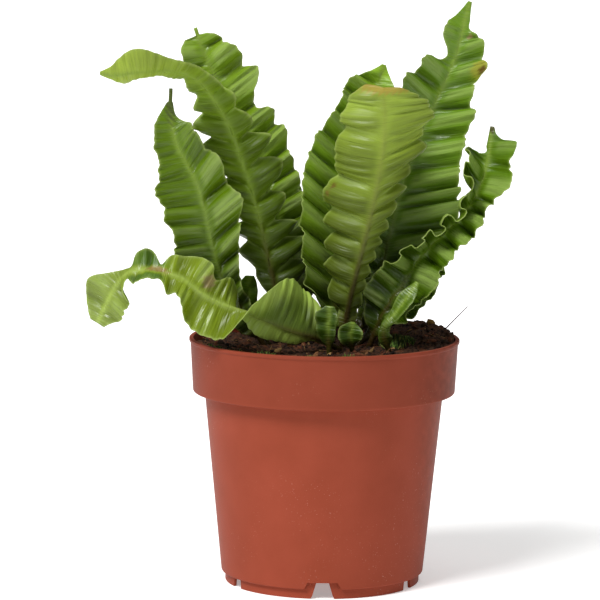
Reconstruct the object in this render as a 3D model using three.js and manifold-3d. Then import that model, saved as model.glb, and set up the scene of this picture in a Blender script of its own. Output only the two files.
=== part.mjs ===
// A crispy wave bird's nest fern in a plastic nursery pot, in millimetres, +Z up.
// Everything is placed round the pot's axis, with z = 0 at its foot. At the end the plant is
// moved so that the origin is under the middle of its whole outline.
import * as THREE from "three";
import { mergeVertices } from "three/addons/utils/BufferGeometryUtils.js";
import Module from "manifold-3d";

const wasm = await Module();
wasm.setup();

const TAU = 2 * Math.PI;
const DEGREE = Math.PI / 180;
const GAP = 0.3; // clearance between pieces that touch
const TOLERANCE = 0.01; // for comparing places, in mm
const SMALLEST_ANGLE = 1e-6;

// Pot
const POT_HEIGHT = 109;
const RIM_RADIUS = 60;
const WALL = 1.2;
const FOOT_RADIUS = 43.3;
const FOOT_RING = 1.3;
const BODY_FOOT_RADIUS = 45.2;
const BODY_TOP_RADIUS = 53;
const BODY_EDGE_Z = 4.3; // lower edge of the body, which overhangs the foot ring
const BODY_EDGE_INSET = 0.8; // the edge is drawn in by this, over the height below
const BODY_EDGE_HEIGHT = 1.8;
const BAND_BOTTOM_Z = 85.5;
const BAND_STEP_DROP = 0.6; // how far the step under the band slopes down to the body
const BAND_RADIUS = 58.4; // band at its lower edge; it widens to the lip
const BAND_EDGE_INSET = 0.5;
const BAND_EDGE_HEIGHT = 0.8;
const LIP_HEIGHT = 1.6;
const LIP_WIDTH = 0.6; // how far the lip stands out of the band
const LIP_EDGE = 0.4; // bevel of the lip's edges
const RIM_FLAT = 0.3; // width of the level top of the wall inside the bevel
const FLOOR_Z = 7.7; // underside of the raised floor
const CUT_INSIDE = 38; // radii between which the notches in the foot are cut
const CUT_OUTSIDE = 50;
const NOTCHES = 3; // of each kind
const TALL_NOTCH = [[5.9, -1], [4.5, 1.2], [2.7, 7.3]]; // half widths at heights, as for the two below
const LOW_NOTCH = [[3.4, -1], [2.7, 3.9]];
const ARCH = [[8.6, BODY_EDGE_Z - 1], [8.2, BODY_EDGE_Z], [6.6, 7.5]];
const DRAIN_HOLES = 6;
const DRAIN_RADIUS = 3.5;
const DRAIN_CIRCLE = 33;
const DRAIN_SIDES = 12;
const POT_SIDES = 48;

// Soil
const SOIL_LEVEL = 105.2;
const SOIL_SPREAD = 0.7; // how much wider the soil is at the top than at the foot of the band
const SOIL_EDGE_HEIGHT = 0.8; // how far its outside slopes up there
const SOIL_RINGS = 8;
const SOIL_SIDES = 36;
const HEAP = {
  height: 6.5, // of the soil heaped against the rim
  turn: 28, // degrees round from the right towards the back, to the middle of the heap
  spread: 45, // degrees to either side
  start: 12, // radius at which it begins to rise
  full: 46, // radius from which it is at full height
};
const LUMPS = { height: 0.7, x: 0.33, y: 0.29, startX: 1.3, startY: 0.4 }; // waves, in mm and radians
const CRUMBS = { height: 0.45, x: 0.61, y: -0.53 };
const STALK_DEPTH = 8; // how far each stalk stands in its hole
const HOLE_RADIUS = 2;
const HOLE_LENGTH = 30; // of the cylinder taken out for a hole, which reaches out above the soil
const HOLE_SIDES = 8;

// Fronds
const BLADE = 0.7; // thickness
const STALK_HALF = 1.35;
const LENGTH_STEPS = 400; // in which the length of a rib is measured
const BLADE_START = STALK_DEPTH + 2; // distance from the foot of the stalk to the foot of the blade
const RIB_FOOT = 2.3; // thickness of the rib at the foot and at the tip
const RIB_TIP = 0.8;
const RIB_TAPER_END = 0.85; // share of the length at which the rib is as thin as at the tip
const STALK_TAPER = 0.4; // share of its half width that the stalk and rib lose up to the tip
const STALK_RELIEF = 1.1; // how much thicker the blade is where it isn't open yet
const MARGIN_RELIEF = 0.3; // the same at its margin
const OPENING = 5; // a half blade this much wider than its stalk lies flat open
const FULL_PLEAT_WIDTH = 10; // a half blade this wide has pleats of full depth
const PLEAT_DRIFT = { size: 0.6, turn: 0.11 }; // how the spacing of the pleats wanders, in radians
const DEPTH_DRIFT = { size: 0.25, turn: 0.23 }; // share by which their depth wanders
const CREASE_ROUNDING = 0.02; // of the creases between pleats
const RIDGE_MEAN = 1.1; // mean height of the ridges before it is taken off
const PUSH_LIMIT = 0.75; // where the surface turns more sharply than this cosine, it isn't thickened more
const ROW_STEP = 2.2; // distance between the rows of points up a blade
const COLUMNS = [0, 0.45, 1]; // across one half of a blade, from rib to margin

// Turns a closed three.js geometry into a solid for joining and cutting.
function toSolid(geometry) {
  const bare = geometry.clone();
  bare.deleteAttribute("normal");
  bare.deleteAttribute("uv");
  const merged = mergeVertices(bare, 1e-4);
  return new wasm.Manifold(
    new wasm.Mesh({
      numProp: 3,
      vertProperties: merged.attributes.position.array,
      triVerts: new Uint32Array(merged.index.array),
    }),
  );
}

function toGeometry(solid) {
  const mesh = solid.getMesh();
  const geometry = new THREE.BufferGeometry();
  geometry.setAttribute("position", new THREE.BufferAttribute(mesh.vertProperties, 3));
  geometry.setIndex(new THREE.BufferAttribute(mesh.triVerts, 1));
  geometry.computeVertexNormals();
  return geometry;
}

// A lathe about +Z from [radius, height] points that run from the axis, round the outside, to the axis.
function turned(profile, sides) {
  const points = profile.map(([radius, height]) => new THREE.Vector2(radius, height));
  return new THREE.LatheGeometry(points, sides).rotateX(Math.PI / 2);
}

// A solid that cuts through the foot of the pot on the -Y side, turned by an angle. half lists half
// widths at heights, from the bottom to the top.
function footCut(half, angle) {
  const outline = [...half, ...half.map(([x, z]) => [-x, z]).reverse()];
  const shape = new THREE.Shape(outline.map(([x, z]) => new THREE.Vector2(x, z)));
  const depth = CUT_OUTSIDE - CUT_INSIDE;
  const block = new THREE.ExtrudeGeometry(shape, { depth, bevelEnabled: false });
  block.rotateX(Math.PI / 2).translate(0, -CUT_INSIDE, 0);
  return toSolid(block.rotateZ(angle));
}

// Pot

// Radius and height of the pot's wall: up the outside and down the inside.
function potProfile() {
  const innerFoot = FOOT_RADIUS - FOOT_RING;
  const bandTop = POT_HEIGHT - LIP_HEIGHT;
  const bandStep = BAND_BOTTOM_Z - BAND_STEP_DROP;
  const rimOutside = RIM_RADIUS - LIP_EDGE;
  return [
    [0, FLOOR_Z],
    [innerFoot, FLOOR_Z],
    [innerFoot, 0],
    [FOOT_RADIUS, 0],
    [FOOT_RADIUS, BODY_EDGE_Z],
    [BODY_FOOT_RADIUS - BODY_EDGE_INSET, BODY_EDGE_Z],
    [BODY_FOOT_RADIUS, BODY_EDGE_Z + BODY_EDGE_HEIGHT],
    [BODY_TOP_RADIUS, bandStep],
    [BAND_RADIUS - BAND_EDGE_INSET, BAND_BOTTOM_Z],
    [BAND_RADIUS, BAND_BOTTOM_Z + BAND_EDGE_HEIGHT],
    [RIM_RADIUS - LIP_WIDTH, bandTop],
    [RIM_RADIUS, bandTop + LIP_EDGE],
    [RIM_RADIUS, POT_HEIGHT - LIP_EDGE],
    [rimOutside, POT_HEIGHT],
    [rimOutside - RIM_FLAT - WALL, POT_HEIGHT],
    [BAND_RADIUS - WALL, BAND_BOTTOM_Z + WALL],
    [BODY_TOP_RADIUS - WALL, bandStep + WALL],
    [BODY_FOOT_RADIUS - WALL, FLOOR_Z + WALL],
    [0, FLOOR_Z + WALL],
  ];
}

// A cylinder that stands on the pot's axis from z = 0 up.
function upright(radius, height, sides) {
  const cylinder = new THREE.CylinderGeometry(radius, radius, height, sides);
  return cylinder.rotateX(Math.PI / 2).translate(0, 0, height / 2);
}

// The pot, with three tall notches in its foot ring, each under an arch in the body's lower edge,
// and three low ones between them.
function makePot() {
  let pot = toSolid(turned(potProfile(), POT_SIDES));
  const footCore = toSolid(upright(FOOT_RADIUS, POT_HEIGHT, POT_SIDES));
  for (let k = 0; k < NOTCHES; k++) {
    const angle = (k * TAU) / NOTCHES;
    pot = pot.subtract(footCut(TALL_NOTCH, angle));
    pot = pot.subtract(footCut(LOW_NOTCH, angle + TAU / NOTCHES / 2));
    pot = pot.subtract(footCut(ARCH, angle).subtract(footCore));
  }
  for (let k = 0; k < DRAIN_HOLES; k++) {
    const angle = (k * TAU) / DRAIN_HOLES;
    const hole = upright(DRAIN_RADIUS, FLOOR_Z + 2 * WALL, DRAIN_SIDES);
    hole.translate(DRAIN_CIRCLE * Math.sin(angle), -DRAIN_CIRCLE * Math.cos(angle), 0);
    pot = pot.subtract(toSolid(hole));
  }
  return toGeometry(pot);
}

// Soil

// Rises smoothly from 0 to 1 as x goes between the two.
function smooth(from, to, x) {
  const t = Math.min(1, Math.max(0, (x - from) / (to - from)));
  return t * t * (3 - 2 * t);
}

// Height of the soil's surface: lumpy, and heaped against the rim at the right and behind.
function soilHeight(x, y) {
  const away = (Math.atan2(y, x) / DEGREE - HEAP.turn) / HEAP.spread;
  const heap = HEAP.height * Math.exp(-(away ** 2)) * smooth(HEAP.start, HEAP.full, Math.hypot(x, y));
  const waves = Math.sin(LUMPS.x * x + LUMPS.startX) * Math.sin(LUMPS.y * y + LUMPS.startY);
  const crumbs = CRUMBS.height * Math.sin(CRUMBS.x * x + CRUMBS.y * y);
  return SOIL_LEVEL + heap + LUMPS.height * waves + crumbs;
}

function makeSoil(stalks) {
  const inwards = WALL + GAP;
  const edge = BAND_RADIUS - inwards;
  const ledge = BAND_BOTTOM_Z - BAND_STEP_DROP + inwards;
  const bottom = FLOOR_Z + inwards;
  const profile = [
    [0, bottom],
    [BODY_FOOT_RADIUS - inwards, bottom],
    [BODY_TOP_RADIUS - inwards, ledge],
    [edge, ledge + SOIL_EDGE_HEIGHT],
  ];
  for (let k = 0; k <= SOIL_RINGS; k++) {
    profile.push([(edge + SOIL_SPREAD) * (1 - k / SOIL_RINGS), SOIL_LEVEL]);
  }
  const body = turned(profile, SOIL_SIDES);
  const at = body.attributes.position;
  for (let i = 0; i < at.count; i++) {
    if (at.getZ(i) > SOIL_LEVEL - TOLERANCE) at.setZ(i, soilHeight(at.getX(i), at.getY(i)));
  }
  let soil = toSolid(body);
  for (const { foot, direction } of stalks) {
    const hole = new THREE.CylinderGeometry(HOLE_RADIUS, HOLE_RADIUS, HOLE_LENGTH, HOLE_SIDES);
    hole.applyQuaternion(new THREE.Quaternion().setFromUnitVectors(new THREE.Vector3(0, 1, 0), direction));
    const middle = foot.clone().addScaledVector(direction, HOLE_LENGTH / 2 - GAP);
    soil = soil.subtract(toSolid(hole.translate(middle.x, middle.y, middle.z)));
  }
  return toGeometry(soil);
}

// Fronds

// A smooth value at x, from 0 to 1, through values at even steps.
function along(values, x) {
  const last = values.length - 1;
  const place = Math.min(1, Math.max(0, x)) * last;
  const k = Math.min(last - 1, Math.floor(place));
  const t = place - k;
  const [p, q, r, s] = [-1, 0, 1, 2].map((step) => values[Math.min(last, Math.max(0, k + step))]);
  return q + 0.5 * t * (r - p + t * (2 * p - 5 * q + 4 * r - s + t * (3 * (q - r) + s - p)));
}

// The steepness at pair k, of pairs of a place and a value there.
function steepness(pairs, k) {
  const slope = (from) => (pairs[from + 1][1] - pairs[from][1]) / (pairs[from + 1][0] - pairs[from][0]);
  if (k === 0) return slope(0);
  if (k === pairs.length - 1) return slope(k - 1);
  const before = pairs[k][0] - pairs[k - 1][0];
  const after = pairs[k + 1][0] - pairs[k][0];
  return (slope(k - 1) * after + slope(k) * before) / (before + after);
}

// A smooth value at x through pairs of a place and a value there.
function through(pairs, x) {
  const next = pairs.findIndex(([place]) => place >= x);
  const k = next < 0 ? pairs.length - 2 : Math.max(0, next - 1);
  const step = pairs[k + 1][0] - pairs[k][0];
  const t = Math.min(1, Math.max(0, (x - pairs[k][0]) / step));
  const rise = pairs[k + 1][1] - pairs[k][1];
  const start = steepness(pairs, k) * step;
  const end = steepness(pairs, k + 1) * step;
  return pairs[k][1] + t * (start + t * (3 * rise - 2 * start - end + t * (start + end - 2 * rise)));
}

// A shape value at x: a number, a list at even steps, or either of those for each side.
function setting(value, side, x) {
  const own = value.left === undefined ? value : value[side > 0 ? "right" : "left"];
  return Array.isArray(own) ? along(own, x) : own;
}

// How much shorter the chord of an arc is than the arc, where the two meet at this angle.
function shortening(angle) {
  return Math.abs(angle) < SMALLEST_ANGLE ? 1 : Math.sin(angle) / angle;
}

// The middle surface of a frond. d is the distance along the rib in mm, side is -1 on the left half
// and 1 on the right half, and t runs from 0 at the rib to 1 at the margin.
function frondSurface(spec) {
  const points = spec.rib.map((p) => new THREE.Vector3(...p));
  const direction = points[1].clone().sub(points[0]).normalize();
  const foot = points[0].clone().addScaledVector(direction, -STALK_DEPTH);
  const curve = new THREE.CatmullRomCurve3([foot, ...points], false, "centripetal");
  curve.arcLengthDivisions = LENGTH_STEPS;
  const length = curve.getLength();
  const bladeLength = length - BLADE_START;
  const shape = { ...SHAPE, ...spec };

  function faceAt(x, tangent) {
    const face = new THREE.Vector3(...[0, 1, 2].map((axis) => along(spec.face.map((f) => f[axis]), x)));
    return face.addScaledVector(tangent, -face.dot(tangent)).normalize();
  }

  function halfWidth(d, side) {
    const least = STALK_HALF * (1 - STALK_TAPER * Math.max(0, d / length));
    if (d < BLADE_START || d > length - shape.tail + TOLERANCE) return least;
    const pairs = [[0, STALK_HALF], ...(side > 0 ? spec.right : spec.left)];
    return Math.max(least, through(pairs, (d - BLADE_START) / (bladeLength - shape.tail)));
  }

  // How far the frond has opened from its stalk, from 0 to 1.
  function openness(d) {
    const narrow = Math.min(halfWidth(d, -1), halfWidth(d, 1));
    return smooth(STALK_HALF, STALK_HALF + OPENING, narrow);
  }

  // The turn of the pleats' wave. At full turns the margin has a notch.
  function pleatTurn(d, side, at) {
    const notches = shape.notches?.[side > 0 ? "right" : "left"];
    if (notches === undefined) {
      const drift = PLEAT_DRIFT.size * Math.sin(d * PLEAT_DRIFT.turn + side);
      return TAU * (d / at("pleat") + at("phase")) + drift;
    }
    const counted = [0, ...notches, 1].map((place, count) => [place, count]);
    return TAU * through(counted, (d - BLADE_START) / bladeLength);
  }

  function pointAt(d, side, t) {
    const x = (d - BLADE_START) / bladeLength;
    const at = (name) => setting(shape[name], side, x);
    const u = Math.min(1, Math.max(0, d / length));
    const tangent = curve.getTangentAt(u);
    const normal = faceAt(x, tangent);
    const across = tangent.clone().cross(normal);
    const half = halfWidth(d, side);
    const share = Math.min(1, Math.max(0, (half - STALK_HALF) / FULL_PLEAT_WIDTH));

    // ridge runs from 0.9 on the round top of a pleat to -0.8 in the narrow crease between two
    const turn = pleatTurn(d, side, at);
    const ridge = 2 * Math.sqrt(Math.sin(turn / 2) ** 2 + CREASE_ROUNDING) - RIDGE_MEAN;
    const swell = at("sharp") * ridge + (1 - at("sharp")) * Math.sin(turn);
    const deep = share * (1 - (1 - t) ** at("reach"));
    const drift = DEPTH_DRIFT.size * Math.sin(d * DEPTH_DRIFT.turn + 2 * side);
    const wave = deep * swell * (1 + drift);
    const curl = share * at("curl") * DEGREE;
    const width = half * t * (1 + share * at("scallop") * swell) * shortening(curl * t);
    const rise = at("rise") * openness(d) * DEGREE + curl * (t - 0.5);
    const tilt = rise + curl * t;
    const lift = shape.round * at("depth") * wave;
    const sway = at("meander") * deep * Math.sin(2 * turn);
    const forward = share * width * at("slant") + at("lean") * wave - sway;

    const point = curve.getPointAt(u);
    point.addScaledVector(across, side * (width * Math.cos(rise) - lift * Math.sin(tilt)));
    point.addScaledVector(normal, width * Math.sin(rise) + lift * Math.cos(tilt));
    return point.addScaledVector(tangent, forward);
  }

  // Thickness at the distance d along the rib, with a thicker rib, and thick all over on the stalk.
  function thicknessAt(d, t) {
    if (t === 0) return RIB_FOOT - (RIB_FOOT - RIB_TIP) * smooth(0, RIB_TAPER_END, d / length);
    return BLADE + (1 - openness(d)) * (t < 1 ? STALK_RELIEF : MARGIN_RELIEF);
  }

  return { pointAt, thicknessAt, length, foot, direction };
}

// Distances along the rib of the rows of points: the stalk's ends, then even steps up the blade.
function rowsOf(spec, length) {
  const bladeLength = length - BLADE_START;
  const steps = Math.round(bladeLength / (spec.step ?? ROW_STEP));
  const blade = Array.from({ length: steps }, (_, k) => BLADE_START + (bladeLength * (k + 1)) / steps);
  return [0, STALK_DEPTH, BLADE_START, ...blade];
}

// Splits the grid of points into triangles, each half of the frond the mirror of the other.
function splitGrid(rowCount, across) {
  const triangles = [];
  for (let i = 0; i + 1 < rowCount; i++) {
    for (let j = 0; j + 1 < across; j++) {
      const a = i * across + j;
      const [b, c, d] = [a + 1, a + across + 1, a + across];
      if (j < across / 2 - 1) triangles.push([a, b, d], [b, c, d]);
      else triangles.push([a, b, c], [a, c, d]);
    }
  }
  return triangles;
}

// The way each point is pushed to thicken the surface, and how far for one unit of thickness.
function pushes(points, triangles) {
  const facing = points.map(() => []);
  for (const [a, b, c] of triangles) {
    const normal = points[b].clone().sub(points[a]).cross(points[c].clone().sub(points[a])).normalize();
    for (const v of [a, b, c]) facing[v].push(normal);
  }
  return facing.map((normals) => {
    const mean = normals.reduce((sum, n) => sum.add(n), new THREE.Vector3()).normalize();
    const least = Math.min(...normals.map((n) => n.dot(mean)));
    return mean.multiplyScalar(0.5 / Math.max(PUSH_LIMIT, least));
  });
}

// The edges round the outside of the grid, in one direction.
function borderOf(rowCount, across) {
  const border = [];
  const last = (rowCount - 1) * across;
  for (let j = 0; j + 1 < across; j++) border.push([j + 1, j], [last + j, last + j + 1]);
  for (let i = 0; i + 1 < rowCount; i++) {
    const left = i * across;
    const right = left + across - 1;
    border.push([left, left + across], [right + across, right]);
  }
  return border;
}

// A frond as one solid: both of its faces have the same split into triangles.
function makeFrond(spec) {
  const { pointAt, thicknessAt, length } = frondSurface(spec);
  const rows = rowsOf(spec, length);
  const left = [...COLUMNS].reverse().map((t) => [-1, t]);
  const columns = [...left, ...COLUMNS.slice(1).map((t) => [1, t])];
  const points = rows.flatMap((d) => columns.map(([side, t]) => pointAt(d, side, t)));
  const thickness = rows.flatMap((d) => columns.map(([, t]) => thicknessAt(d, t)));
  const triangles = splitGrid(rows.length, columns.length);
  const push = pushes(points, triangles);
  const top = points.map((point, v) => point.clone().addScaledVector(push[v], thickness[v]));
  const bottom = points.map((point, v) => point.clone().addScaledVector(push[v], -thickness[v]));

  const count = points.length;
  const faces = triangles.flatMap(([a, b, c]) => [a, b, c, count + a, count + c, count + b]);
  for (const [a, b] of borderOf(rows.length, columns.length)) {
    faces.push(a, b, count + b, a, count + b, count + a);
  }
  const geometry = new THREE.BufferGeometry();
  const positions = [...top, ...bottom].flatMap((p) => [p.x, p.y, p.z]);
  geometry.setAttribute("position", new THREE.Float32BufferAttribute(positions, 3));
  geometry.setIndex(faces);
  geometry.computeVertexNormals();
  return geometry;
}

// The shape of a frond, unless its own entry says otherwise. A value is a number, a list at even
// steps up the blade, or either of those for the left half and for the right half.
const SHAPE = {
  rise: [35, 30, 22, 16, 10], // degrees that a half blade stands above its face
  curl: 18, // half of the degrees that a half blade bends from rib to margin
  depth: 2.8, // of the pleats, from the middle to a crest, in mm
  reach: 2.5, // how soon beside the rib the pleats are deep
  round: 1, // 1 where the round ridges of the pleats are on the upper side, -1 on the lower side
  scallop: 0.17, // how far the lobes stand out of the margin, as a share of the width
  slant: 0.25, // how far the pleats slope towards the tip, for each mm from the rib
  lean: 0.8, // how far the ridges lean towards the tip, in mm
  sharp: 1, // 1 for round ridges with narrow creases between them, 0 for even waves
  meander: 0, // how far an even wave sways to and fro along the margin, in mm
  phase: { left: 0, right: 0.3 }, // share of a pleat by which the pleats are shifted
  tail: 0, // length of the bare end of the rib, in mm
};

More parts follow.
